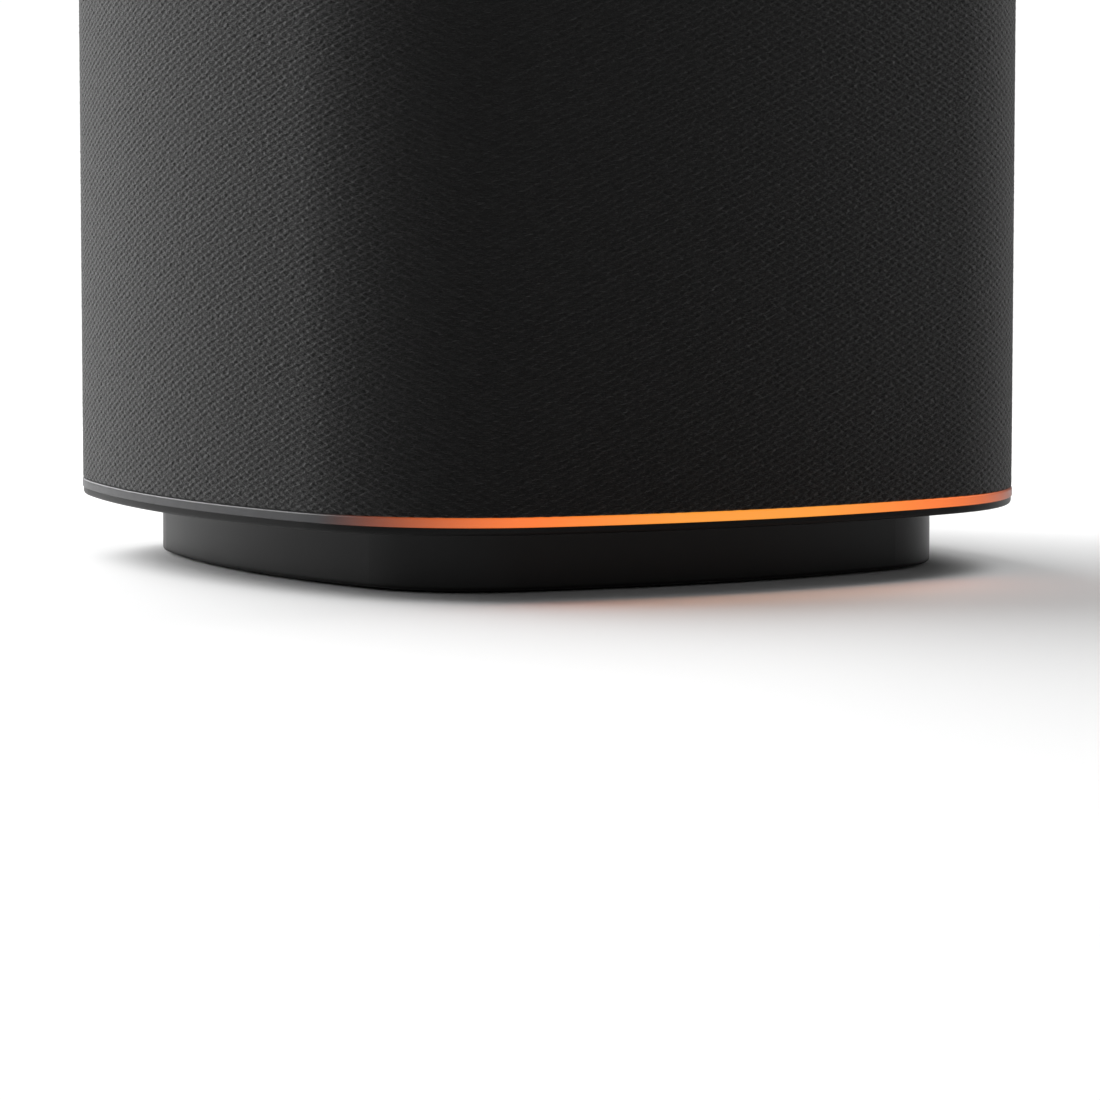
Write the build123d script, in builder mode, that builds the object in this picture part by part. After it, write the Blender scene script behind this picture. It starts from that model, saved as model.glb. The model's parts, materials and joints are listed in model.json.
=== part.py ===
from build123d import *
from math import atan2, degrees, sqrt
import os

# A table-top smart home hub: a fabric-wrapped speaker body, a light strip round its foot and a set-back
# plinth. Millimetres. The origin is on the floor at the middle of the plan, the front faces -Y, +Z is up.

# Driving dimensions
BODY_HALF = 60.0  # half the width across two opposite sides
BODY_TOP = 160.0
SIDE_RADIUS = 140.0  # bulge of each side, seen from above
CORNER_RADIUS = 31.0
EDGE_RADIUS = 9.0  # roll of the fabric over the top edge
FABRIC_THICK = 1.1
FABRIC_INSET = 0.1  # the light strip stands this far proud of the cloth
GRILLE_THICK = 2.0
GAP = 0.1  # assembly gap between fixed pieces

PLINTH_INSET = 11.55
PLINTH_WALL = 2.0
PLINTH_FLOOR = 1.8
PLINTH_BOTTOM = 0.4  # the feet stand this far proud of the plinth
UNDERSIDE = 8.7  # top of the plinth and underside of the body
LIP_INSET = 0.15
LIGHT_BOTTOM = 9.74
LIGHT_TOP = 11.0
LIGHT_INNER = 5.6  # inset of the light guide's inner face, where the emitters shine in

FOOT_INSET = 2.6  # from the plinth's side
FOOT_WIDTH = 5.0
FOOT_SINK = 1.0
FOOT_GAP = 16.6  # between two feet at the middle of each side

WELL_RADIUS = 3.2  # screw wells in the plinth
WELL_DEPTH = 3.0
RIB_INSET = 11.2  # stiffening rib of the tray

INLET_Z = 4.9
INLET_WIDTH = 8.94
INLET_HEIGHT = 3.2
INLET_DEPTH = 7.4
INLET_MOUTH = 47.4
INLET_BACK = 46.0
LEAD_X = 14.0
LEAD_Y = 26.5
FLEX_Y = 53.45

POST_PLACE = 27.0  # the four posts that tie plinth, tray and speaker box together
POST_RADIUS = 4.4
M3_RADIUS = 1.5
M2_RADIUS = 1.0
SCREW_CLEAR = 0.05

BOARD_THICK = 1.6
MAIN_BOARD_BOTTOM = 17.6
MAIN_BOARD_HALF_X = 42.0
MAIN_BOARD_HALF_Y = 22.0
MAIN_SCREW_X = 38.0
MAIN_SCREW_Y = 18.0

TUB_BOTTOM = 34.0
TUB_TOP = 142.0
TUB_MIDDLE = (TUB_BOTTOM + TUB_TOP) / 2
TUB_INSET = 7.0
TUB_WALL = 2.5
TUB_FRONT = -42.0
BAFFLE_THICK = 3.0
BAFFLE_FRONT = TUB_FRONT - BAFFLE_THICK
WOOFER_Z = 74.0
TWEETER_Z = 126.0
RADIATOR_Z = 87.0
RADIATOR_FACE = 48.6  # flat seat of each side radiator, from the middle plane
RADIATOR_SEAT = 30.5
FLANGE_THICK = 1.6
FRONT = (0, -1, 0)

PANEL_TOP = 159.6
PANEL_INSET = 9.4
PANEL_UNDERSIDE = 157.4
PANEL_RIM_BOTTOM = 158.85
GRILLE_TOP = 158.8
GRILLE_OPENING = 13.0  # inset of the opening that the top panel drops into
GRILLE_INSET = FABRIC_INSET + FABRIC_THICK + GAP
GRILLE_ROLL = EDGE_RADIUS - FABRIC_THICK - GAP
SLOT_COLUMNS = 7
SLOT_ROWS = 8
SLOT_PITCH_X = 9.0
SLOT_PITCH_Z = 16.0
SLOT_LENGTH = 11.0
SLOT_WIDTH = 3.6
CONTROL_BOARD_BOTTOM = 149.0
BUTTON_PLACE = 26.0
BUTTON_RADIUS = 6.9
BUTTON_TOP = 159.9
BUTTON_TRAVEL = 0.5
PLUNGER_RADIUS = 1.72
PLUNGER_TOP = 154.0
PLUNGER_CLEAR = 0.08
MIC_PLACE = 25.46  # along both axes
DISH_RADIUS = 30.0  # hollow of each key's face

# Centre of each corner arc, tangent to the two side arcs beside it
SIDE_OFFSET = SIDE_RADIUS - BODY_HALF
CORNER_REACH = SIDE_RADIUS - CORNER_RADIUS
CORNER_CENTRE = (sqrt(2 * CORNER_REACH**2 - SIDE_OFFSET**2) - SIDE_OFFSET) / 2
SIDE_SPAN = degrees(atan2(CORNER_CENTRE, CORNER_CENTRE + SIDE_OFFSET))

MAIN_BOARD_TOP = MAIN_BOARD_BOTTOM + BOARD_THICK
CONTROL_BOARD_TOP = CONTROL_BOARD_BOTTOM + BOARD_THICK
PLINTH_FLOOR_TOP = PLINTH_BOTTOM + PLINTH_FLOOR
FOUR_POSTS = [(x, y) for x in (-POST_PLACE, POST_PLACE) for y in (-POST_PLACE, POST_PLACE)]
MAIN_SCREWS = [(x, y) for x in (-MAIN_SCREW_X, MAIN_SCREW_X) for y in (-MAIN_SCREW_Y, MAIN_SCREW_Y)]
BAFFLE_SCREWS = [(x, z) for x in (-39.4, 39.4) for z in (40.0, 88.0, 136.0)]
WOOFER_SCREWS = [(x, WOOFER_Z + z) for x in (-27.9, 27.9) for z in (-27.9, 27.9)]
CONTROL_SCREWS = [(x, y) for x in (-14.0, 14.0) for y in (-14.0, 14.0)]
MICS = [(x, y) for x in (-MIC_PLACE, MIC_PLACE) for y in (-MIC_PLACE, MIC_PLACE)]
BUTTONS = {
    "volume_up": (BUTTON_PLACE, 0),
    "volume_down": (-BUTTON_PLACE, 0),
    "action": (0, -BUTTON_PLACE),
    "mute": (0, BUTTON_PLACE),
}

pieces = {}


def body_plan(inset):
    """Plan of the body, a square with bulged sides and round corners, some inset inside its widest line."""
    with BuildSketch() as plan:
        with BuildLine():
            for turn in range(0, 360, 90):
                side_centre = Vector(-SIDE_OFFSET, 0).rotate(Axis.Z, turn)
                corner_centre = Vector(CORNER_CENTRE, CORNER_CENTRE).rotate(Axis.Z, turn)
                CenterArc(side_centre, SIDE_RADIUS - inset, turn - SIDE_SPAN, 2 * SIDE_SPAN)
                CenterArc(corner_centre, CORNER_RADIUS - inset, turn + SIDE_SPAN, 90 - 2 * SIDE_SPAN)
        make_face()
    return plan.sketch


def plan_ring(outer_inset, inner_inset):
    """Band of the body's plan between two insets."""
    with BuildSketch() as ring:
        add(body_plan(outer_inset))
        add(body_plan(inner_inset), mode=Mode.SUBTRACT)
    return ring.sketch


def rolled_block(inset, top, roll):
    """Solid block of the body from the light strip up to a height, its top edge rolled over."""
    with BuildPart() as block:
        with BuildSketch(Plane.XY.offset(LIGHT_TOP)):
            add(body_plan(inset))
        extrude(amount=top - LIGHT_TOP)
        fillet(block.faces().sort_by(Axis.Z)[-1].edges(), roll)
    return block.part


def foot_strips(spare):
    """The four foot strips along the plinth's edge, widened by spare mm on every side."""
    outer = PLINTH_INSET + FOOT_INSET
    with BuildSketch() as strips:
        add(plan_ring(outer - spare, outer + FOOT_WIDTH + spare))
        Rectangle(FOOT_GAP - 2 * spare, 2 * BODY_HALF, mode=Mode.SUBTRACT)
        Rectangle(2 * BODY_HALF, FOOT_GAP - 2 * spare, mode=Mode.SUBTRACT)
    return strips.sketch


def screws(seat, places, shank_radius, length):
    """Pan-head screws: heads below the seat plane, shanks along its normal, a hexagon socket in each head."""
    head_height = 1.3 * shank_radius
    with BuildPart() as group:
        with BuildSketch(seat):
            with Locations(*places):
                Circle(shank_radius)
        extrude(amount=length)
        with BuildSketch(seat):
            with Locations(*places):
                Circle(1.9 * shank_radius)
        extrude(amount=-head_height)
        with BuildSketch(seat.offset(-head_height)):
            with Locations(*places):
                RegularPolygon(0.9 * shank_radius, 6)
        extrude(amount=0.8 * head_height, mode=Mode.SUBTRACT)
    return group


def driver_plane(centre, forward):
    """Plane for a driver's half section: x runs up from the driver's axis and y runs forward along it."""
    return Plane(origin=centre, x_dir=(0, 0, 1), z_dir=Vector(0, 0, 1).cross(Vector(*forward)))


def turned(centre, forward, outline):
    """Solid of revolution about a driver's axis, from a closed outline of radius and height pairs."""
    with BuildPart() as body:
        with BuildSketch(driver_plane(centre, forward)):
            with BuildLine():
                Polyline(*outline, close=True)
            make_face()
        revolve(axis=Axis(centre, forward))
    return body


def roll_surround(centre, forward, inner, outer, roll_centre, roll_radius, base):
    """Rubber half-roll between two flat flanges."""
    skin = 0.6
    with BuildPart() as body:
        with BuildSketch(driver_plane(centre, forward)):
            with Locations((roll_centre, base)):
                Circle(roll_radius)
                Circle(roll_radius - skin, mode=Mode.SUBTRACT)
                Rectangle(2 * roll_radius, roll_radius, align=(Align.CENTER, Align.MAX), mode=Mode.SUBTRACT)
            with Locations((inner, base)):
                Rectangle(roll_centre - roll_radius + skin - inner, skin, align=Align.MIN)
            with Locations((outer, base)):
                Rectangle(outer - roll_centre - roll_radius + skin, skin, align=(Align.MAX, Align.MIN))
        revolve(axis=Axis(centre, forward))
    return body


def dome_height(radius, rim, rise):
    """Height at a radius of a spherical cap that starts at its rim and rises in the middle."""
    ball = (rim**2 + rise**2) / (2 * rise)
    return sqrt(ball**2 - radius**2) - (ball - rise)


def dome_cap(centre, forward, rim, rise, base, skin):
    """Thin spherical cap, such as a dust cap or a tweeter's dome."""
    inner_rim = rim - skin
    inner_rise = rise - skin
    with BuildPart() as body:
        with BuildSketch(driver_plane(centre, forward)):
            with BuildLine():
                outside = (rim / 2, base + dome_height(rim / 2, rim, rise))
                inside = (inner_rim / 2, base + dome_height(inner_rim / 2, inner_rim, inner_rise))
                ThreePointArc((rim, base), outside, (0, base + rise))
                Line((0, base + rise), (0, base + inner_rise))
                ThreePointArc((0, base + inner_rise), inside, (inner_rim, base))
                Line((inner_rim, base), (rim, base))
            make_face()
        revolve(axis=Axis(centre, forward))
    return body


# Fabric sleeve: stretch cloth round the grille, rolled over the top edge
with BuildPart() as fabric_sleeve:
    add(rolled_block(FABRIC_INSET, BODY_TOP, EDGE_RADIUS))
    add(
        rolled_block(FABRIC_INSET + FABRIC_THICK, BODY_TOP - FABRIC_THICK, EDGE_RADIUS - FABRIC_THICK),
        mode=Mode.SUBTRACT,
    )
    with BuildSketch(Plane.XY.offset(BODY_TOP)):
        add(body_plan(PANEL_INSET - GAP))
    extrude(amount=-EDGE_RADIUS, mode=Mode.SUBTRACT)
pieces["fabric_sleeve"] = fabric_sleeve

# Grille shell: the slotted cage that carries the cloth
with BuildPart() as grille_shell:
    add(rolled_block(GRILLE_INSET, GRILLE_TOP, GRILLE_ROLL))
    add(
        rolled_block(GRILLE_INSET + GRILLE_THICK, GRILLE_TOP - GRILLE_THICK, GRILLE_ROLL - GRILLE_THICK),
        mode=Mode.SUBTRACT,
    )
    with BuildSketch(Plane.XY.offset(GRILLE_TOP)):
        add(body_plan(GRILLE_OPENING))
    extrude(amount=-2 * GRILLE_THICK, mode=Mode.SUBTRACT)
    slot_middle = (0, 0, (LIGHT_TOP + GRILLE_TOP) / 2)
    for across, facing in (((1, 0, 0), (0, -1, 0)), ((0, 1, 0), (1, 0, 0))):
        with BuildSketch(Plane(origin=slot_middle, x_dir=across, z_dir=facing)):
            with GridLocations(SLOT_PITCH_X, SLOT_PITCH_Z, SLOT_COLUMNS, SLOT_ROWS):
                SlotOverall(SLOT_LENGTH, SLOT_WIDTH, rotation=90)
        extrude(amount=BODY_HALF, both=True, mode=Mode.SUBTRACT)
pieces["grille_shell"] = grille_shell

# Light guide: the thin translucent strip seen all round, with a deeper inner rim behind the grille
GUIDE_EDGE = 0.2
GUIDE_RIM_WIDTH = 2.0
GUIDE_RIM_HEIGHT = 1.0
with BuildPart() as light_guide:
    with BuildSketch(Plane.XY.offset(LIGHT_BOTTOM)):
        add(body_plan(0))
    extrude(amount=LIGHT_TOP - LIGHT_BOTTOM)
    fillet(light_guide.faces().filter_by(Plane.XY).edges(), GUIDE_EDGE)
    with BuildSketch(Plane.XY.offset(LIGHT_TOP)):
        add(plan_ring(LIGHT_INNER - GUIDE_RIM_WIDTH, LIGHT_INNER))
    extrude(amount=GUIDE_RIM_HEIGHT)
    with BuildSketch(Plane.XY.offset(LIGHT_BOTTOM)):
        add(body_plan(LIGHT_INNER))
    extrude(amount=LIGHT_TOP, mode=Mode.SUBTRACT)
pieces["light_guide"] = light_guide

# Light board: a ring circuit board on the tray, with side-shining emitters along its outer edge
LIGHT_BOARD_TOP = LIGHT_BOTTOM + 0.8
LIGHT_BOARD_OUTER = LIGHT_INNER + 0.3
LIGHT_BOARD_INNER = RIB_INSET - 0.2
with BuildPart() as light_board:
    with BuildSketch(Plane.XY.offset(LIGHT_BOTTOM)):
        add(plan_ring(LIGHT_BOARD_OUTER, LIGHT_BOARD_INNER))
    extrude(amount=LIGHT_BOARD_TOP - LIGHT_BOTTOM)
pieces["light_board"] = light_board

EMITTER_INSET = LIGHT_INNER + 0.9
EMITTER_DEPTH = 1.0
EMITTER_HEIGHT = 0.8
with BuildPart() as light_emitters:
    for turn in range(0, 360, 90):
        side_centre = Vector(-SIDE_OFFSET, 0).rotate(Axis.Z, turn)
        corner_centre = Vector(CORNER_CENTRE, CORNER_CENTRE).rotate(Axis.Z, turn)
        side_angles = [turn + share * SIDE_SPAN for share in (-0.75, -0.25, 0.25, 0.75)]
        corner_angles = [turn + SIDE_SPAN + share * (90 - 2 * SIDE_SPAN) for share in (0.25, 0.75)]
        spots = [(side_centre, SIDE_RADIUS, angle) for angle in side_angles]
        spots += [(corner_centre, CORNER_RADIUS, angle) for angle in corner_angles]
        for centre, radius, angle in spots:
            facing = Vector(1, 0).rotate(Axis.Z, angle)
            spot = centre + facing * (radius - EMITTER_INSET)
            with BuildSketch(Plane(origin=(spot.X, spot.Y, LIGHT_BOARD_TOP), x_dir=facing)):
                Rectangle(EMITTER_DEPTH, 2 * EMITTER_DEPTH)
            extrude(amount=EMITTER_HEIGHT)
pieces["light_emitters"] = light_emitters

# Lower tray: underside and black lip of the body, with the posts that carry the speaker box
LIP_EDGE = 0.5
RIB_WIDTH = 2.0
RIB_HEIGHT = 4.2
BOARD_POST_RADIUS = 3.0
BOARD_POST_BORE = 6.0
TUB_POST_BORE = 12.0
PLINTH_SCREW_REACH = 9.0
LEAD_SLOT = (10.0, 5.0)
with BuildPart() as lower_tray:
    with BuildSketch(Plane.XY.offset(UNDERSIDE)):
        add(body_plan(LIP_INSET))
    extrude(amount=LIGHT_BOTTOM - UNDERSIDE)
    fillet(lower_tray.faces().sort_by(Axis.Z)[0].edges(), LIP_EDGE)
    with BuildSketch(Plane.XY.offset(LIGHT_BOTTOM)):
        add(plan_ring(RIB_INSET, RIB_INSET + RIB_WIDTH))
    extrude(amount=RIB_HEIGHT)
    with BuildSketch(Plane.XY.offset(UNDERSIDE)):
        with Locations(*FOUR_POSTS):
            Circle(POST_RADIUS)
    extrude(amount=TUB_BOTTOM - UNDERSIDE)
    with BuildSketch(Plane.XY.offset(UNDERSIDE)):
        with Locations(*MAIN_SCREWS):
            Circle(BOARD_POST_RADIUS)
    extrude(amount=MAIN_BOARD_BOTTOM - UNDERSIDE)
    with BuildSketch(Plane.XY.offset(MAIN_BOARD_BOTTOM)):
        with Locations(*MAIN_SCREWS):
            Circle(M2_RADIUS + SCREW_CLEAR)
    extrude(amount=-BOARD_POST_BORE, mode=Mode.SUBTRACT)
    with BuildSketch(Plane.XY.offset(TUB_BOTTOM)):
        with Locations(*FOUR_POSTS):
            Circle(M3_RADIUS + SCREW_CLEAR)
    extrude(amount=-TUB_POST_BORE, mode=Mode.SUBTRACT)
    with BuildSketch(Plane.XY.offset(UNDERSIDE)):
        with Locations(*FOUR_POSTS):
            Circle(M3_RADIUS + SCREW_CLEAR)
        with Locations((LEAD_X, LEAD_Y)):
            Rectangle(*LEAD_SLOT)
    extrude(amount=PLINTH_SCREW_REACH, mode=Mode.SUBTRACT)
pieces["lower_tray"] = lower_tray

# Plinth: the set-back tub under the body, with foot grooves, screw wells and the power opening at the back
PLINTH_EDGE = 0.5
POST_CLEAR = 0.6
GROOVE_CLEAR = 0.05
INLET_CLEAR = 0.3
RECESS_WIDTH = 13.0
RECESS_HEIGHT = 6.2
with BuildPart() as plinth_shell:
    with BuildSketch(Plane.XY.offset(PLINTH_BOTTOM)):
        add(body_plan(PLINTH_INSET))
    extrude(amount=UNDERSIDE - PLINTH_BOTTOM)
    fillet(plinth_shell.faces().sort_by(Axis.Z)[0].edges(), PLINTH_EDGE)
    with BuildSketch(Plane.XY.offset(PLINTH_FLOOR_TOP)):
        add(body_plan(PLINTH_INSET + PLINTH_WALL))
        with Locations(*FOUR_POSTS):
            Circle(POST_RADIUS + POST_CLEAR, mode=Mode.SUBTRACT)
    extrude(amount=UNDERSIDE, mode=Mode.SUBTRACT)
    with BuildSketch(Plane.XY.offset(PLINTH_BOTTOM)):
        with Locations(*FOUR_POSTS):
            Circle(WELL_RADIUS)
        add(foot_strips(GROOVE_CLEAR))
    extrude(amount=FOOT_SINK, mode=Mode.SUBTRACT)
    with BuildSketch(Plane.XY.offset(PLINTH_BOTTOM)):
        with Locations(*FOUR_POSTS):
            Circle(WELL_RADIUS)
    extrude(amount=WELL_DEPTH, mode=Mode.SUBTRACT)
    with BuildSketch(Plane.XY.offset(PLINTH_BOTTOM)):
        with Locations(*FOUR_POSTS):
            Circle(M3_RADIUS + 2 * SCREW_CLEAR)
    extrude(amount=UNDERSIDE, mode=Mode.SUBTRACT)
    with BuildSketch(Plane.XZ.offset(-BODY_HALF)):
        with Locations((0, INLET_Z)):
            SlotOverall(INLET_WIDTH + INLET_CLEAR, INLET_HEIGHT + INLET_CLEAR)
    extrude(amount=BODY_HALF - INLET_BACK, mode=Mode.SUBTRACT)
    with BuildSketch(Plane.XZ.offset(-BODY_HALF)):
        with Locations((0, INLET_Z)):
            SlotOverall(RECESS_WIDTH, RECESS_HEIGHT)
    extrude(amount=BODY_HALF - INLET_MOUTH, mode=Mode.SUBTRACT)
pieces["plinth_shell"] = plinth_shell

# Four rubber feet, each a strip that wraps one corner of the plinth
FOOT_EDGE = 0.2
FEET = {"front_left": (-1, -1), "front_right": (1, -1), "back_left": (-1, 1), "back_right": (1, 1)}
for place, (side_x, side_y) in FEET.items():
    with BuildPart() as foot:
        with BuildSketch():
            add(foot_strips(0))
            with Locations((side_x * BODY_HALF / 2, side_y * BODY_HALF / 2)):
                Rectangle(BODY_HALF, BODY_HALF, mode=Mode.INTERSECT)
        extrude(amount=PLINTH_BOTTOM + FOOT_SINK)
        chamfer(foot.faces().sort_by(Axis.Z)[0].edges(), FOOT_EDGE)
    pieces[f"foot_{place}"] = foot

# Screws that hold the plinth up against the tray's posts
WELL_TOP = PLINTH_BOTTOM + WELL_DEPTH
PLINTH_SCREW_LENGTH = UNDERSIDE + 7.0 - WELL_TOP
pieces["plinth_screws"] = screws(Plane.XY.offset(WELL_TOP), FOUR_POSTS, M3_RADIUS, PLINTH_SCREW_LENGTH)

# Ballast: a steel plate that keeps the tall body steady
BALLAST_WIDTH = 64.0
BALLAST_DEPTH = 42.0
BALLAST_THICK = 5.0
with BuildPart() as ballast_plate:
    with BuildSketch(Plane.XY.offset(PLINTH_FLOOR_TOP)):
        RectangleRounded(BALLAST_WIDTH, BALLAST_DEPTH, 3.0)
    extrude(amount=BALLAST_THICK)
    chamfer(ballast_plate.edges().group_by(Axis.Z)[-1], BALLAST_THICK / 10)
pieces["ballast_plate"] = ballast_plate

# Power inlet: a reversible low-voltage socket on its own little board inside the plinth's back wall
INLET_BOARD_TOP = INLET_Z - INLET_HEIGHT / 2
INLET_SHEET = 0.3
INLET_BACK_WALL = 1.0
TONGUE_SETBACK = 1.2
TONGUE_WIDTH = 6.7
TONGUE_THICK = 0.7
with BuildPart() as power_inlet:
    with BuildSketch(Plane.XZ.offset(-INLET_MOUTH)):
        with Locations((0, INLET_Z)):
            SlotOverall(INLET_WIDTH, INLET_HEIGHT)
    extrude(amount=INLET_DEPTH)
    with BuildSketch(Plane.XZ.offset(-INLET_MOUTH)):
        with Locations((0, INLET_Z)):
            SlotOverall(INLET_WIDTH - 2 * INLET_SHEET, INLET_HEIGHT - 2 * INLET_SHEET)
    extrude(amount=INLET_DEPTH - INLET_BACK_WALL, mode=Mode.SUBTRACT)
    with BuildSketch(Plane.XZ.offset(-INLET_MOUTH + TONGUE_SETBACK)):
        with Locations((0, INLET_Z)):
            Rectangle(TONGUE_WIDTH, TONGUE_THICK)
    extrude(amount=INLET_DEPTH - TONGUE_SETBACK - INLET_BACK_WALL / 5)
pieces["power_inlet"] = power_inlet

INLET_BOARD_WIDTH = 30.0
INLET_BOARD_DEPTH = 13.0
INLET_BOARD_Y = 38.0
with BuildPart() as inlet_board:
    with BuildSketch(Plane.XY.offset(PLINTH_FLOOR_TOP)):
        with Locations((LEAD_X / 2, INLET_BOARD_Y)):
            Rectangle(INLET_BOARD_WIDTH, INLET_BOARD_DEPTH)
    extrude(amount=INLET_BOARD_TOP - PLINTH_FLOOR_TOP)
pieces["inlet_board"] = inlet_board

# Inlet lead: a flat two-way lead from the inlet board up through the tray to the main board
LEAD_WIDTH = 6.0
LEAD_THICK = 1.2
LEAD_BEND = 2.5
LEAD_LOW = INLET_BOARD_TOP + 0.7
LEAD_HIGH = MAIN_BOARD_TOP + 1.5
LEAD_START_Y = INLET_BOARD_Y - 1.0
LEAD_END_Y = MAIN_BOARD_HALF_Y - 3.0
with BuildPart() as inlet_lead:
    with BuildSketch(Plane.YZ.offset(LEAD_X - LEAD_WIDTH / 2)):
        with BuildLine():
            start = (LEAD_START_Y, LEAD_LOW)
            end = (LEAD_END_Y, LEAD_HIGH)
            FilletPolyline(start, (LEAD_Y, LEAD_LOW), (LEAD_Y, LEAD_HIGH), end, radius=LEAD_BEND)
        trace(line_width=LEAD_THICK)
    extrude(amount=LEAD_WIDTH)
pieces["inlet_lead"] = inlet_lead

# Main board, and what is soldered or clipped to it
PROCESSOR_X = -12.0
SHIELD_SIZE = 26.0
SHIELD_HEIGHT = 2.4
SINK_SIZE = 34.0
SINK_BASE = 2.0
FIN_PITCH = 4.1
FIN_COUNT = 9
FIN_THICK = 1.2
FIN_HEIGHT = 7.0
RADIO_X = 20.0
RADIO_BOARD_THICK = 0.8
CHIP_SIZE = 6.0
CHIP_HEIGHT = 1.2
CAPACITOR_RADIUS = 4.0
CAPACITOR_HEIGHT = 9.0
BOARD_SCREW_GRIP = 5.0
with BuildPart() as main_board:
    with BuildSketch(Plane.XY.offset(MAIN_BOARD_BOTTOM)):
        RectangleRounded(2 * MAIN_BOARD_HALF_X, 2 * MAIN_BOARD_HALF_Y, 3.0)
        with Locations(*MAIN_SCREWS):
            Circle(M2_RADIUS + 2 * SCREW_CLEAR, mode=Mode.SUBTRACT)
    extrude(amount=BOARD_THICK)
pieces["main_board"] = main_board

with BuildPart() as processor_shield:
    with BuildSketch(Plane.XY.offset(MAIN_BOARD_TOP)):
        with Locations((PROCESSOR_X, 0)):
            RectangleRounded(SHIELD_SIZE, SHIELD_SIZE, 1.0)
    extrude(amount=SHIELD_HEIGHT)
    chamfer(processor_shield.edges().group_by(Axis.Z)[-1], SHIELD_HEIGHT / 8)
pieces["processor_shield"] = processor_shield

with BuildPart() as heat_sink:
    with BuildSketch(Plane.XY.offset(MAIN_BOARD_TOP + SHIELD_HEIGHT)):
        with Locations((PROCESSOR_X, 0)):
            Rectangle(SINK_SIZE, SINK_SIZE)
    extrude(amount=SINK_BASE)
    with BuildSketch(Plane.XY.offset(MAIN_BOARD_TOP + SHIELD_HEIGHT + SINK_BASE)):
        with Locations((PROCESSOR_X, 0)):
            with GridLocations(FIN_PITCH, 0, FIN_COUNT, 1):
                Rectangle(FIN_THICK, SINK_SIZE)
    extrude(amount=FIN_HEIGHT)
pieces["heat_sink"] = heat_sink

with BuildPart() as radio_module:
    with BuildSketch(Plane.XY.offset(MAIN_BOARD_TOP)):
        with Locations((RADIO_X, 7.5)):
            Rectangle(14.0, 15.0)
    extrude(amount=RADIO_BOARD_THICK)
    with BuildSketch(Plane.XY.offset(MAIN_BOARD_TOP + RADIO_BOARD_THICK)):
        with Locations((RADIO_X, 5.5)):
            RectangleRounded(12.0, 10.0, 0.8)
    extrude(amount=2 * RADIO_BOARD_THICK)
pieces["radio_module"] = radio_module

with BuildPart() as amplifier_chips:
    with BuildSketch(Plane.XY.offset(MAIN_BOARD_TOP)):
        with Locations((12.0, -8.0), (12.0, -16.0)):
            Rectangle(CHIP_SIZE, CHIP_SIZE)
    extrude(amount=CHIP_HEIGHT)
    chamfer(amplifier_chips.edges().group_by(Axis.Z)[-1], CHIP_HEIGHT / 6)
pieces["amplifier_chips"] = amplifier_chips

with BuildPart() as board_capacitors:
    with BuildSketch(Plane.XY.offset(MAIN_BOARD_TOP)):
        with Locations((33.0, -9.0), (33.0, 1.0), (23.0, -13.0)):
            Circle(CAPACITOR_RADIUS)
    extrude(amount=CAPACITOR_HEIGHT)
    fillet(board_capacitors.edges().group_by(Axis.Z)[-1], 0.15 * CAPACITOR_RADIUS)
pieces["board_capacitors"] = board_capacitors

MAIN_BOARD_SEAT = Plane((0, 0, MAIN_BOARD_TOP), x_dir=(1, 0, 0), z_dir=(0, 0, -1))
pieces["main_board_screws"] = screws(MAIN_BOARD_SEAT, MAIN_SCREWS, M2_RADIUS, BOARD_THICK + BOARD_SCREW_GRIP)

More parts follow.
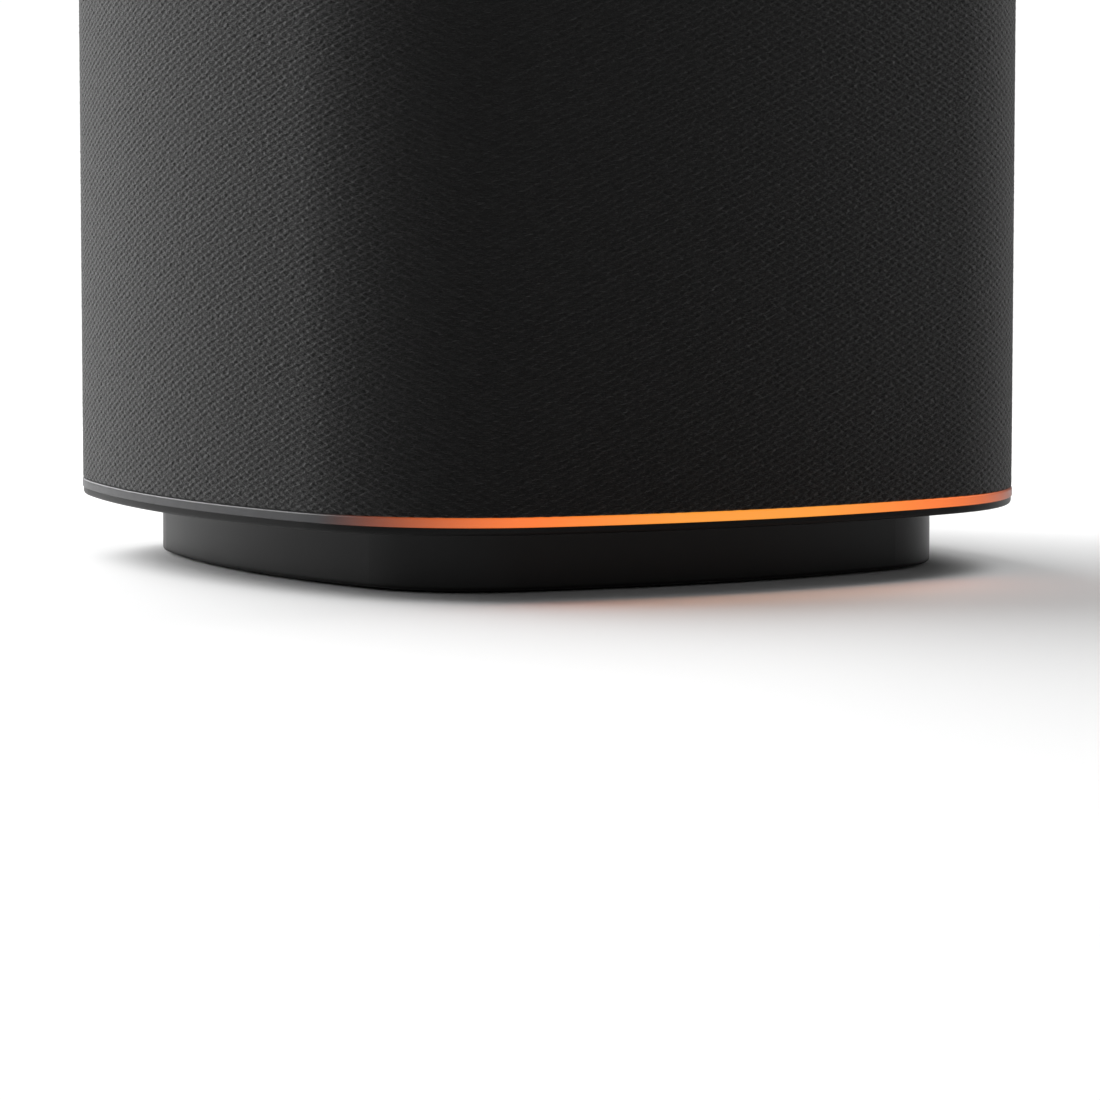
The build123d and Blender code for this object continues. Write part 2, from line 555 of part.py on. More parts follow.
# Speaker box: a moulded tub that follows the body's plan, open at the front, with a flat seat on each side
TUB_MOUTH = (72.0, 99.0)
TUB_MOUTH_CORNER = 6.0
TUB_MOUTH_RISE = 0.5  # the mouth sits this far above the tub's middle
BAFFLE_POST_RADIUS = 3.0
BAFFLE_POST_LENGTH = 8.0
BAFFLE_POST_BORE = 7.0
SEAT_PAD = 2.0
SEAT_THICK = 4.0
RADIATOR_OPENING = 24.0
TUB_SCREW_LENGTH = 12.0
with BuildPart() as speaker_tub:
    with BuildSketch(Plane.XY.offset(TUB_BOTTOM)):
        add(body_plan(TUB_INSET))
        with Locations((0, TUB_FRONT)):
            Rectangle(2 * BODY_HALF, BODY_HALF, align=(Align.CENTER, Align.MAX), mode=Mode.SUBTRACT)
    extrude(amount=TUB_TOP - TUB_BOTTOM)
    with BuildSketch(Plane.XY.offset(TUB_BOTTOM + TUB_WALL)):
        add(body_plan(TUB_INSET + TUB_WALL))
        with Locations((0, TUB_FRONT + TUB_WALL)):
            Rectangle(2 * BODY_HALF, BODY_HALF, align=(Align.CENTER, Align.MAX), mode=Mode.SUBTRACT)
    extrude(amount=TUB_TOP - TUB_BOTTOM - 2 * TUB_WALL, mode=Mode.SUBTRACT)
    with BuildSketch(Plane.XZ.offset(-TUB_FRONT)):
        with Locations(*BAFFLE_SCREWS):
            Circle(BAFFLE_POST_RADIUS)
    extrude(amount=-BAFFLE_POST_LENGTH)
    with BuildSketch(Plane.XZ.offset(-TUB_FRONT)):
        with Locations((0, TUB_MIDDLE + TUB_MOUTH_RISE)):
            RectangleRounded(*TUB_MOUTH, TUB_MOUTH_CORNER)
        with Locations(*BAFFLE_SCREWS):
            Circle(M2_RADIUS + SCREW_CLEAR)
    extrude(amount=-BAFFLE_POST_BORE, mode=Mode.SUBTRACT)
    with BuildSketch(Plane.XY.offset(TUB_BOTTOM)):
        with Locations(*FOUR_POSTS):
            Circle(M3_RADIUS + 2 * SCREW_CLEAR)
    extrude(amount=TUB_WALL, mode=Mode.SUBTRACT)
    split(bisect_by=Plane.YZ, keep=Keep.BOTTOM)
    seat = Plane(origin=(-RADIATOR_FACE, 0, RADIATOR_Z), z_dir=(-1, 0, 0))
    with BuildSketch(seat):
        Circle(RADIATOR_SEAT + SEAT_PAD)
    extrude(amount=-SEAT_THICK)
    with BuildSketch(seat):
        Circle(RADIATOR_SEAT)
    extrude(amount=BODY_HALF - RADIATOR_FACE, mode=Mode.SUBTRACT)
    with BuildSketch(seat):
        Circle(RADIATOR_OPENING)
    extrude(amount=-2 * SEAT_THICK, mode=Mode.SUBTRACT)
    mirror(about=Plane.YZ)
pieces["speaker_tub"] = speaker_tub

TUB_FLOOR_SEAT = Plane((0, 0, TUB_BOTTOM + TUB_WALL), x_dir=(1, 0, 0), z_dir=(0, 0, -1))
pieces["tub_screws"] = screws(TUB_FLOOR_SEAT, FOUR_POSTS, M3_RADIUS, TUB_SCREW_LENGTH)

# Front baffle: carries the woofer and the tweeter
BAFFLE_SIZE = (85.0, 105.0)
BAFFLE_CORNER = 5.0
WOOFER_OPENING = 33.6
TWEETER_OPENING = 11.9
with BuildPart() as front_baffle:
    with BuildSketch(Plane.XZ.offset(-BAFFLE_FRONT)):
        with Locations((0, TUB_MIDDLE)):
            RectangleRounded(*BAFFLE_SIZE, BAFFLE_CORNER)
        with Locations((0, WOOFER_Z)):
            Circle(WOOFER_OPENING, mode=Mode.SUBTRACT)
        with Locations((0, TWEETER_Z)):
            Circle(TWEETER_OPENING, mode=Mode.SUBTRACT)
        with Locations(*BAFFLE_SCREWS, *WOOFER_SCREWS):
            Circle(M2_RADIUS + 2 * SCREW_CLEAR, mode=Mode.SUBTRACT)
    extrude(amount=-BAFFLE_THICK)
pieces["front_baffle"] = front_baffle

BAFFLE_SEAT = Plane((0, BAFFLE_FRONT, 0), x_dir=(1, 0, 0), z_dir=(0, 1, 0))
FLANGE_SEAT = BAFFLE_SEAT.offset(-FLANGE_THICK)
BAFFLE_SCREW_LENGTH = 8.0
WOOFER_SCREW_LENGTH = FLANGE_THICK + 4.0
pieces["baffle_screws"] = screws(
    BAFFLE_SEAT, [(x, -z) for x, z in BAFFLE_SCREWS], M2_RADIUS, BAFFLE_SCREW_LENGTH
)
pieces["woofer_screws"] = screws(
    FLANGE_SEAT, [(x, -z) for x, z in WOOFER_SCREWS], M2_RADIUS, WOOFER_SCREW_LENGTH
)

# Woofer, from the flange back to the yoke
woofer_centre = (0, BAFFLE_FRONT, WOOFER_Z)
with BuildPart() as woofer_basket:
    with BuildSketch(driver_plane(woofer_centre, FRONT)):
        with BuildLine():
            Polyline(
                (37.0, 0), (37.0, FLANGE_THICK), (31.7, FLANGE_THICK), (31.7, 0), (24.6, -14.6),
                (22.6, -14.6), (22.6, -15.6), (24.2, -15.6), (22.5, -19.0), (11.5, -19.0),
                (11.5, -21.0), (25.0, -21.0), (25.0, -19.0), (33.2, -1.0), (33.2, 0), close=True,
            )
        make_face()
    revolve(axis=Axis(woofer_centre, FRONT))
    with BuildSketch(Plane.XZ.offset(-BAFFLE_FRONT)):
        with Locations(*WOOFER_SCREWS):
            Circle(4.2)
        with Locations((0, WOOFER_Z)):
            Circle(35.0, mode=Mode.SUBTRACT)
    extrude(amount=FLANGE_THICK)
    with BuildSketch(Plane.XZ.offset(-BAFFLE_FRONT)):
        with Locations(*WOOFER_SCREWS):
            Circle(M2_RADIUS + 2 * SCREW_CLEAR)
    extrude(amount=FLANGE_THICK, mode=Mode.SUBTRACT)
    with BuildSketch(Plane.XZ.offset(-BAFFLE_FRONT - 3.0)):
        with Locations((0, WOOFER_Z)):
            with PolarLocations(29.5, 6):
                Rectangle(9.0, 18.0)
    extrude(amount=-10.0, mode=Mode.SUBTRACT)
pieces["woofer_basket"] = woofer_basket

pieces["woofer_top_plate"] = turned(
    woofer_centre, FRONT, [(11.3, -25.0), (25.0, -25.0), (25.0, -21.0), (11.3, -21.0)]
)
pieces["woofer_magnet"] = turned(
    woofer_centre, FRONT, [(14.0, -35.0), (26.0, -35.0), (26.0, -25.0), (14.0, -25.0)]
)
pieces["woofer_yoke"] = turned(
    woofer_centre,
    FRONT,
    [(3.0, -39.0), (26.0, -39.0), (26.0, -35.0), (9.4, -35.0), (9.4, -21.0), (3.0, -21.0)],
)
pieces["woofer_cone"] = turned(
    woofer_centre,
    FRONT,
    [(10.75, -9.6), (25.9, 1.0), (27.2, 1.0), (27.2, FLANGE_THICK), (25.6, FLANGE_THICK), (10.75, -8.8)],
)
pieces["woofer_voice_coil"] = turned(
    woofer_centre,
    FRONT,
    [(10.0, -29.0), (10.95, -29.0), (10.95, -18.0), (10.6, -18.0), (10.6, -8.8), (10.0, -8.8)],
)
pieces["woofer_dust_cap"] = dome_cap(woofer_centre, FRONT, 12.6, 3.8, -7.4, 0.6)
pieces["woofer_surround"] = roll_surround(woofer_centre, FRONT, 25.8, 36.0, 30.2, 2.8, FLANGE_THICK)

with BuildPart() as woofer_spider:
    with BuildSketch(driver_plane(woofer_centre, FRONT)):
        with BuildLine():
            for height in (-14.6, -14.2):
                Line((10.65, height), (12.5, height))
                for wave in range(4):
                    start = 12.5 + 2.4 * wave
                    crest = height + 0.8 * (-1) ** wave
                    ThreePointArc((start, height), (start + 1.2, crest), (start + 2.4, height))
                Line((22.1, height), (24.4, height))
            Line((10.65, -14.6), (10.65, -14.2))
            Line((24.4, -14.6), (24.4, -14.2))
        make_face()
    revolve(axis=Axis(woofer_centre, FRONT))
pieces["woofer_spider"] = woofer_spider

# Tweeter
tweeter_centre = (0, BAFFLE_FRONT, TWEETER_Z)
pieces["tweeter_faceplate"] = turned(
    tweeter_centre,
    FRONT,
    [(9.8, 0), (13.3, 0), (13.3, 1.0), (12.8, FLANGE_THICK), (11.2, FLANGE_THICK), (9.8, 0.6)],
)
pieces["tweeter_motor"] = turned(
    tweeter_centre, FRONT, [(0, -13.0), (11.5, -13.0), (11.5, 0), (9.8, 0), (9.8, -3.0), (0, -3.0)]
)
pieces["tweeter_dome"] = dome_cap(tweeter_centre, FRONT, 9.2, 3.0, -1.0, 0.4)

# Side radiators: a weighted plate on a rubber roll, one on each side of the speaker box
for side, name in ((-1, "left"), (1, "right")):
    radiator_centre = (side * RADIATOR_FACE, 0, RADIATOR_Z)
    outward = (side, 0, 0)
    pieces[f"radiator_{name}_plate"] = turned(
        radiator_centre,
        outward,
        [(0, -2.6), (12.0, -2.6), (13.0, -1.6), (19.4, -1.6), (19.4, 0), (16.8, 0), (16.4, 0.8), (0, 0.8)],
    )
    pieces[f"radiator_{name}_surround"] = roll_surround(radiator_centre, outward, 17.0, 29.8, 22.6, 2.9, 0)

# Control board under the top panel, with the switches, microphones and their gaskets
CONTROL_BOARD_INSET = 16.0
SWITCH_SIZE = 6.0
SWITCH_HEIGHT = 2.8
SWITCH_FLOOR = 0.4
MIC_SIZE = (3.5, 2.7)
MIC_HEIGHT = 1.0
GASKET_RADIUS = 2.4
GASKET_BORE = 0.7
with BuildPart() as control_board:
    with BuildSketch(Plane.XY.offset(CONTROL_BOARD_BOTTOM)):
        add(body_plan(CONTROL_BOARD_INSET))
        with Locations(*CONTROL_SCREWS):
            Circle(M2_RADIUS + 2 * SCREW_CLEAR, mode=Mode.SUBTRACT)
    extrude(amount=BOARD_THICK)
pieces["control_board"] = control_board

with BuildPart() as key_switches:
    with BuildSketch(Plane.XY.offset(CONTROL_BOARD_TOP)):
        with Locations(*BUTTONS.values()):
            Rectangle(SWITCH_SIZE, SWITCH_SIZE)
    extrude(amount=SWITCH_HEIGHT)
    with BuildSketch(Plane.XY.offset(CONTROL_BOARD_TOP + SWITCH_FLOOR)):
        with Locations(*BUTTONS.values()):
            Circle(PLUNGER_RADIUS + PLUNGER_CLEAR)
    extrude(amount=SWITCH_HEIGHT, mode=Mode.SUBTRACT)
pieces["key_switches"] = key_switches

with BuildPart() as microphones:
    with BuildSketch(Plane.XY.offset(CONTROL_BOARD_TOP)):
        with Locations(*MICS):
            Rectangle(*MIC_SIZE)
    extrude(amount=MIC_HEIGHT)
pieces["microphones"] = microphones

with BuildPart() as mic_gaskets:
    with BuildSketch(Plane.XY.offset(CONTROL_BOARD_TOP + MIC_HEIGHT)):
        with Locations(*MICS):
            Circle(GASKET_RADIUS)
            Circle(GASKET_BORE, mode=Mode.SUBTRACT)
    extrude(amount=PANEL_UNDERSIDE - CONTROL_BOARD_TOP - MIC_HEIGHT)
pieces["mic_gaskets"] = mic_gaskets

CONTROL_SCREW_GRIP = 4.5
CONTROL_SEAT = Plane.XY.offset(CONTROL_BOARD_BOTTOM)
pieces["control_board_screws"] = screws(
    CONTROL_SEAT, CONTROL_SCREWS, M2_RADIUS, BOARD_THICK + CONTROL_SCREW_GRIP
)

# Top panel: button holes, microphone holes, board bosses and four snap hooks under the grille's edge
PANEL_EDGE = 0.4
PANEL_SPIGOT_CLEAR = 0.3
PANEL_BOSS_RADIUS = 3.0
PANEL_BOSS_BORE = 5.0
HOOK_REACH = BODY_HALF - GRILLE_OPENING - 1.6
HOOK_LENGTH = 3.6
HOOK_WIDTH = 8.0
HOOK_THICK = 1.4
CATCH_REACH = HOOK_REACH + 1.5
CATCH_DEPTH = 1.8
CATCH_HEIGHT = 2.8
BUTTON_CLEAR = 0.2
MIC_HOLE = 0.6
with BuildPart() as top_panel:
    with BuildSketch(Plane.XY.offset(PANEL_RIM_BOTTOM)):
        add(body_plan(PANEL_INSET))
    extrude(amount=PANEL_TOP - PANEL_RIM_BOTTOM)
    fillet(top_panel.faces().sort_by(Axis.Z)[-1].edges(), PANEL_EDGE)
    with BuildSketch(Plane.XY.offset(PANEL_UNDERSIDE)):
        add(body_plan(GRILLE_OPENING + PANEL_SPIGOT_CLEAR))
    extrude(amount=PANEL_RIM_BOTTOM - PANEL_UNDERSIDE)
    with BuildSketch(Plane.XY.offset(CONTROL_BOARD_TOP)):
        with Locations(*CONTROL_SCREWS):
            Circle(PANEL_BOSS_RADIUS)
    extrude(amount=PANEL_UNDERSIDE - CONTROL_BOARD_TOP)
    for turn in range(0, 360, 90):
        facing = Vector(1, 0).rotate(Axis.Z, turn)
        spot = facing * HOOK_REACH
        catch = facing * CATCH_REACH
        with BuildSketch(Plane(origin=(spot.X, spot.Y, PANEL_UNDERSIDE), x_dir=facing)):
            Rectangle(HOOK_THICK, HOOK_WIDTH)
        extrude(amount=-HOOK_LENGTH)
        with BuildSketch(Plane(origin=(catch.X, catch.Y, PANEL_UNDERSIDE - HOOK_LENGTH), x_dir=facing)):
            Rectangle(CATCH_DEPTH, HOOK_WIDTH)
        extrude(amount=CATCH_HEIGHT)
    with BuildSketch(Plane.XY.offset(PANEL_TOP)):
        with Locations(*BUTTONS.values()):
            Circle(BUTTON_RADIUS + BUTTON_CLEAR)
        with Locations(*MICS):
            Circle(MIC_HOLE)
    extrude(amount=PANEL_UNDERSIDE - PANEL_TOP, mode=Mode.SUBTRACT)
    with BuildSketch(Plane.XY.offset(CONTROL_BOARD_TOP)):
        with Locations(*CONTROL_SCREWS):
            Circle(M2_RADIUS + SCREW_CLEAR)
    extrude(amount=PANEL_BOSS_BORE, mode=Mode.SUBTRACT)
pieces["top_panel"] = top_panel

# Four keys in the top panel, each with a retaining flange, a stem and the plunger of its switch
FLANGE_REACH = 1.1
KEY_FLANGE_TOP = PANEL_UNDERSIDE - 0.2
KEY_FLANGE_THICK = 1.3
STEM_TOP = KEY_FLANGE_TOP - KEY_FLANGE_THICK
STEM_RADIUS = 2.0
BUTTON_EDGE = 0.4
DISH_DEPTH = 0.3
PLUNGER_BOTTOM = CONTROL_BOARD_TOP + SWITCH_FLOOR + BUTTON_TRAVEL + 0.2
for name, (x, y) in BUTTONS.items():
    with BuildPart() as button:
        with BuildSketch(Plane.XY.offset(STEM_TOP)):
            with Locations((x, y)):
                Circle(BUTTON_RADIUS + FLANGE_REACH)
        extrude(amount=KEY_FLANGE_THICK)
        with BuildSketch(Plane.XY.offset(KEY_FLANGE_TOP)):
            with Locations((x, y)):
                Circle(BUTTON_RADIUS)
        extrude(amount=BUTTON_TOP - KEY_FLANGE_TOP)
        fillet(button.edges().group_by(Axis.Z)[-1], BUTTON_EDGE)
        with BuildSketch(Plane.XY.offset(PLUNGER_TOP)):
            with Locations((x, y)):
                Circle(STEM_RADIUS)
        extrude(amount=STEM_TOP - PLUNGER_TOP)
        with Locations((x, y, BUTTON_TOP + DISH_RADIUS - DISH_DEPTH)):
            Sphere(DISH_RADIUS, mode=Mode.SUBTRACT)
    pieces[f"{name}_button"] = button

    with BuildPart() as plunger:
        with BuildSketch(Plane.XY.offset(PLUNGER_BOTTOM)):
            with Locations((x, y)):
                Circle(PLUNGER_RADIUS)
        extrude(amount=PLUNGER_TOP - PLUNGER_BOTTOM)
    pieces[f"{name}_plunger"] = plunger

# Control flex: a flat cable from the control board down the back of the speaker box to the main board
FLEX_WIDTH = 8.0
FLEX_THICK = 0.3
FLEX_BEND = 3.0
with BuildPart() as control_flex:
    with BuildSketch(Plane.YZ.offset(-FLEX_WIDTH / 2)):
        with BuildLine():
            top = CONTROL_BOARD_BOTTOM - 0.3
            bottom = MAIN_BOARD_TOP + 0.4
            FilletPolyline((36.0, top), (FLEX_Y, top), (FLEX_Y, bottom), (19.0, bottom), radius=FLEX_BEND)
        trace(line_width=FLEX_THICK)
    extrude(amount=FLEX_WIDTH)
pieces["control_flex"] = control_flex

# Two antennas on the back of the speaker box
ANTENNA_X = 13.0
ANTENNA_Z = 100.0
ANTENNA_WIDTH = 8.0
ANTENNA_HEIGHT = 34.0
with BuildPart() as antennas:
    with BuildSketch(Plane.XZ.offset(-BODY_HALF + TUB_INSET - GAP)):
        with Locations((-ANTENNA_X, ANTENNA_Z), (ANTENNA_X, ANTENNA_Z)):
            RectangleRounded(ANTENNA_WIDTH, ANTENNA_HEIGHT, 1.0)
    extrude(amount=-0.8)
pieces["antennas"] = antennas

os.makedirs("parts", exist_ok=True)
for name, piece in pieces.items():
    piece.part.label = name
    export_step(piece.part, f"parts/{name}.step")
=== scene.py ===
"""Looks of a table-top smart home hub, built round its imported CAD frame.

The hub is a speaker body wrapped in knit cloth, with a thin light strip round its foot and a set-back
plinth. Everything is in metres and in the CAD frame: the origin is on the floor at the middle of the plan,
the front faces -Y and +Z is up.
"""

import json
import logging
from collections.abc import Callable, Mapping, Sequence
from dataclasses import dataclass, field
from enum import Enum
from math import asin, cos, hypot, pi, radians, sin, sqrt

import bpy
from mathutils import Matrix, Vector, noise


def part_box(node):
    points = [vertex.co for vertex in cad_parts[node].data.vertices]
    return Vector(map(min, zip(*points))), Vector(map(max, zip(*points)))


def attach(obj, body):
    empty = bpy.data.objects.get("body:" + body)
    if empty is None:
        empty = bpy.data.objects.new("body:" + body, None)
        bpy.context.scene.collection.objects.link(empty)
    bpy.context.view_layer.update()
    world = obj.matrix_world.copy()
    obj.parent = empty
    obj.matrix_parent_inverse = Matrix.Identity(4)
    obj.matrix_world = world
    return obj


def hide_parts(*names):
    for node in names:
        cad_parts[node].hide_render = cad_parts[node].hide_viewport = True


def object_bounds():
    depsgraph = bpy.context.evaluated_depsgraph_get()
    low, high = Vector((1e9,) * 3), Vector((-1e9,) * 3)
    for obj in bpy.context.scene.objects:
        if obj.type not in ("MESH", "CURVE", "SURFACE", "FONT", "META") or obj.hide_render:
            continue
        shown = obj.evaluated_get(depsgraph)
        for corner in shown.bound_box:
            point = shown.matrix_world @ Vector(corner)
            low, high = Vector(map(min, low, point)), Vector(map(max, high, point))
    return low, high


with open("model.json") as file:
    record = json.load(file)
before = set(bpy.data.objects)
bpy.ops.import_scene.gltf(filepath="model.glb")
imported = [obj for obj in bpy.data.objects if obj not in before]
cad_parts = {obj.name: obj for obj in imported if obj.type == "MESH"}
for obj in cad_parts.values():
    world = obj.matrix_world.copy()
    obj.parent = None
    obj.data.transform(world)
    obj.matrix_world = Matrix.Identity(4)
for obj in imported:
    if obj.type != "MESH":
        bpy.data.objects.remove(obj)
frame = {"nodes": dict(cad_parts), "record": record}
cad_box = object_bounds()
log = logging.getLogger("hub")

MM = 0.001
VECTORS = "ShaderNodeVectorMath"
Colour = tuple[float, float, float, float]
Point = tuple[float, float, float]


# ---------------------------------------------------------------------------------------------------------
# Small helpers for nodes and meshes
# ---------------------------------------------------------------------------------------------------------


def linear(hex_colour: str) -> Colour:
    """Turns an sRGB hex colour into linear light.

    Args:
        hex_colour: six hex digits, with or without a leading hash.

    Returns:
        Linear red, green and blue, and an alpha of one.
    """
    digits = hex_colour.lstrip("#")
    channels = [int(digits[place : place + 2], 16) / 255 for place in (0, 2, 4)]
    light = [c / 12.92 if c <= 0.04045 else ((c + 0.055) / 1.055) ** 2.4 for c in channels]
    return (light[0], light[1], light[2], 1.0)


def per(size_mm: float) -> float:
    """Texture scale, in repeats per metre, of a pattern whose features are this many millimetres wide."""
    return 1 / (size_mm * MM)


def add_node(
    tree: bpy.types.NodeTree,
    kind: str,
    inputs: Mapping[str | int, object] | None = None,
    **settings: object,
) -> bpy.types.Node:
    """Adds one node with its settings, values and incoming links.

    Args:
        tree: node tree that gets the node.
        kind: Blender's name of the node type.
        inputs: by socket name or number, a value to set or another node's output socket to link.
        settings: properties of the node; ``stops`` gives a colour ramp its (place, colour) pairs.

    Returns:
        The new node.
    """
    node = tree.nodes.new(kind)
    stops = settings.pop("stops", None)
    for name, value in settings.items():
        setattr(node, name, value)
    if stops:
        elements = node.color_ramp.elements
        elements[0].position, elements[0].color = stops[0]
        elements[1].position, elements[1].color = stops[-1]
        for place, colour in stops[1:-1]:
            elements.new(place).color = colour
    for name, value in (inputs or {}).items():
        if isinstance(value, bpy.types.NodeSocket):
            tree.links.new(value, node.inputs[name])
        else:
            node.inputs[name].default_value = value
    return node


def maths(
    tree: bpy.types.NodeTree, operation: str, *terms: object, kind: str = "ShaderNodeMath"
) -> bpy.types.NodeSocket:
    """Adds one step of arithmetic.

    Args:
        tree: node tree that gets it.
        operation: Blender's name of the operation.
        terms: the values or sockets that it works on, in order.
        kind: ``VECTORS`` where it works on vectors.

    Returns:
        The socket of its result.
    """
    return add_node(tree, kind, dict(enumerate(terms)), operation=operation).outputs[0]


def rescale(
    tree: bpy.types.NodeTree,
    value: bpy.types.NodeSocket,
    source: tuple[float, float] = (0.0, 1.0),
    target: tuple[float, float] = (0.0, 1.0),
    smooth: bool = False,
) -> bpy.types.NodeSocket:
    """Carries one range of values over to another, and clamps it there.

    Args:
        tree: node tree that gets it.
        value: socket of the value.
        source: range that it comes from.
        target: range that it goes to.
        smooth: whether it eases in and out, or runs straight.

    Returns:
        The socket of the new value.
    """
    values = {
        "Value": value,
        "From Min": source[0],
        "From Max": source[1],
        "To Min": target[0],
        "To Max": target[1],
    }
    style = "SMOOTHSTEP" if smooth else "LINEAR"
    return add_node(tree, "ShaderNodeMapRange", values, interpolation_type=style).outputs["Result"]


def noise_field(
    tree: bpy.types.NodeTree,
    place: bpy.types.NodeSocket,
    scale: float,
    detail: float,
    roughness: float = 0.5,
    output: str = "Fac",
) -> bpy.types.NodeSocket:
    """Adds a noise pattern.

    Args:
        tree: node tree that gets it.
        place: socket of the place it is read at.
        scale: how many of its features fit in one unit of the place.
        detail: how many finer layers lie over it.
        roughness: how strong the finer layers are.
        output: ``Fac`` for one value, ``Color`` for three.

    Returns:
        The socket of its value, from nought to one.
    """
    values = {"Vector": place, "Scale": scale, "Detail": detail, "Roughness": roughness}
    return add_node(tree, "ShaderNodeTexNoise", values).outputs[output]


def mix_colours(
    tree: bpy.types.NodeTree, share: bpy.types.NodeSocket, first: bpy.types.NodeSocket | str, second: str
) -> bpy.types.NodeSocket:
    """Adds a mix of two colours.

    Args:
        tree: node tree that gets it.
        share: socket that says how much of the second one shows.
        first: socket of a colour, or an sRGB colour.
        second: the other sRGB colour.

    Returns:
        The socket of the mix.
    """
    start = linear(first) if isinstance(first, str) else first
    values = {0: share, 6: start, 7: linear(second)}
    return add_node(tree, "ShaderNodeMix", values, data_type="RGBA").outputs[2]


def mesh_piece(
    name: str,
    points: Sequence[Point],
    faces: Sequence[Sequence[int]],
    threads: Sequence[tuple[float, float]] | None = None,
) -> bpy.types.Object:
    """Makes a smooth-shaded mesh object.

    Args:
        name: name of the piece.
        points: vertex places.
        faces: vertex numbers of each face.
        threads: for each face corner, its place along and up the surface, kept as the UV map ``threads``.

    Returns:
        The new object, linked to the scene.
    """
    mesh = bpy.data.meshes.new(name)
    mesh.from_pydata(points, [], faces)
    if threads:
        layer = mesh.uv_layers.new(name="threads")
        layer.data.foreach_set("uv", [value for pair in threads for value in pair])
    mesh.shade_smooth()
    mesh.update()
    piece = bpy.data.objects.new(name, mesh)
    bpy.context.scene.collection.objects.link(piece)
    return piece


# ---------------------------------------------------------------------------------------------------------
# Plan of the body and rings swept round it
# ---------------------------------------------------------------------------------------------------------


@dataclass(frozen=True)
class BodyPlan:
    """Outline of the body seen from above: four bulged sides joined by round corners."""

    half: float = cad_box[1].x
    side_radius: float = 140 * MM
    corner_radius: float = 31 * MM

    @property
    def side_offset(self) -> float:
        """Distance of each side arc's centre beyond the middle of the plan."""
        return self.side_radius - self.half

    @property
    def corner_centre(self) -> float:
        """Distance of each corner arc's centre from the middle, along both axes."""
        reach = self.side_radius - self.corner_radius
        return (sqrt(2 * reach**2 - self.side_offset**2) - self.side_offset) / 2

    @property
    def side_span(self) -> float:
        """Half the angle of a side arc, in radians."""
        return asin(self.corner_centre / (self.side_radius - self.corner_radius))

    @property
    def perimeter(self) -> float:
        """Length of the outline at its widest."""
        corner_turn = pi / 2 - 2 * self.side_span
        return 4 * (2 * self.side_radius * self.side_span + self.corner_radius * corner_turn)

    def place(self, along: float, inset: float) -> tuple[float, float, float, float]:
        """Finds a point of the outline and the way it faces.

        Args:
            along: distance along the widest outline from the middle of the front, positive towards +X.
            inset: how far inside the widest outline the point lies.

        Returns:
            The point's x and y and its outward direction's x and y.
        """
        quarter = self.perimeter / 4
        turn = round(along / quarter)
        rest = along - turn * quarter
        half_side = self.side_radius * self.side_span
        side = 1 if rest >= 0 else -1
        if abs(rest) <= half_side:
            angle = rest / self.side_radius
            x = (self.side_radius - inset) * sin(angle)
            y = self.side_offset - (self.side_radius - inset) * cos(angle)
        else:
            angle = side * (self.side_span + (abs(rest) - half_side) / self.corner_radius)
            x = side * self.corner_centre + (self.corner_radius - inset) * sin(angle)
            y = -self.corner_centre - (self.corner_radius - inset) * cos(angle)
        facing = (sin(angle), -cos(angle))
        cosine = round(cos(turn * pi / 2))
        sine = round(sin(turn * pi / 2))
        return (
            x * cosine - y * sine,
            x * sine + y * cosine,
            facing[0] * cosine - facing[1] * sine,
            facing[0] * sine + facing[1] * cosine,
        )


@dataclass
class Profile:
    """Closed section of a ring, drawn as insets from the widest outline and heights."""

    points: list[tuple[float, float]] = field(default_factory=list)
    relief: list[float] = field(default_factory=list)

    def line(self, inset: float, height: float, pieces: int = 1, relief: float = 0.0) -> "Profile":
        """Draws a straight run to a point, or starts the section there.

        Args:
            inset: inset of the run's end.
            height: height of the run's end.
            pieces: how many equal steps the run is cut into.
            relief: how strongly the surface pattern stands out of the new points.

        Returns:
            The profile itself.
        """
        start = self.points[-1] if self.points else (inset, height)
        for step in range(1, pieces + 1):
            share = step / pieces
            x = start[0] + (inset - start[0]) * share
            z = start[1] + (height - start[1]) * share
            self.points.append((x, z))
            self.relief.append(relief)
        return self

    def arc(
        self,
        centre: tuple[float, float],
        radius: float,
        angles: tuple[float, float],
        pieces: int,
        relief: float = 0.0,
    ) -> "Profile":
        """Draws a round run.

        Args:
            centre: inset and height of the arc's centre.
            radius: radius of the arc.
            angles: first and last angle in degrees, where 0 points outward and 90 points up.
            pieces: how many steps the arc is cut into.
            relief: how strongly the surface pattern stands out of the new points.

        Returns:
            The profile itself.
        """
        first = 0 if not self.points else 1
        for step in range(first, pieces + 1):
            angle = radians(angles[0] + (angles[1] - angles[0]) * step / pieces)
            self.points.append((centre[0] - radius * cos(angle), centre[1] + radius * sin(angle)))
            self.relief.append(relief)
        return self

    def runs(self) -> list[float]:
        """Distance of each point along the section, and last the whole way round."""
        total = [0.0]
        closed = [*self.points, self.points[0]]
        for (x, z), (next_x, next_z) in zip(closed, closed[1:]):
            total.append(total[-1] + hypot(next_x - x, next_z - z))
        return total

    def outward(self, index: int) -> tuple[float, float]:
        """Direction that the surface faces at a point, as an outward and an upward share."""
        before = self.points[index - 1]
        after = self.points[(index + 1) % len(self.points)]
        run_in, run_up = after[0] - before[0], after[1] - before[1]
        length = hypot(run_in, run_up) or 1.0
        return (run_up / length, run_in / length)


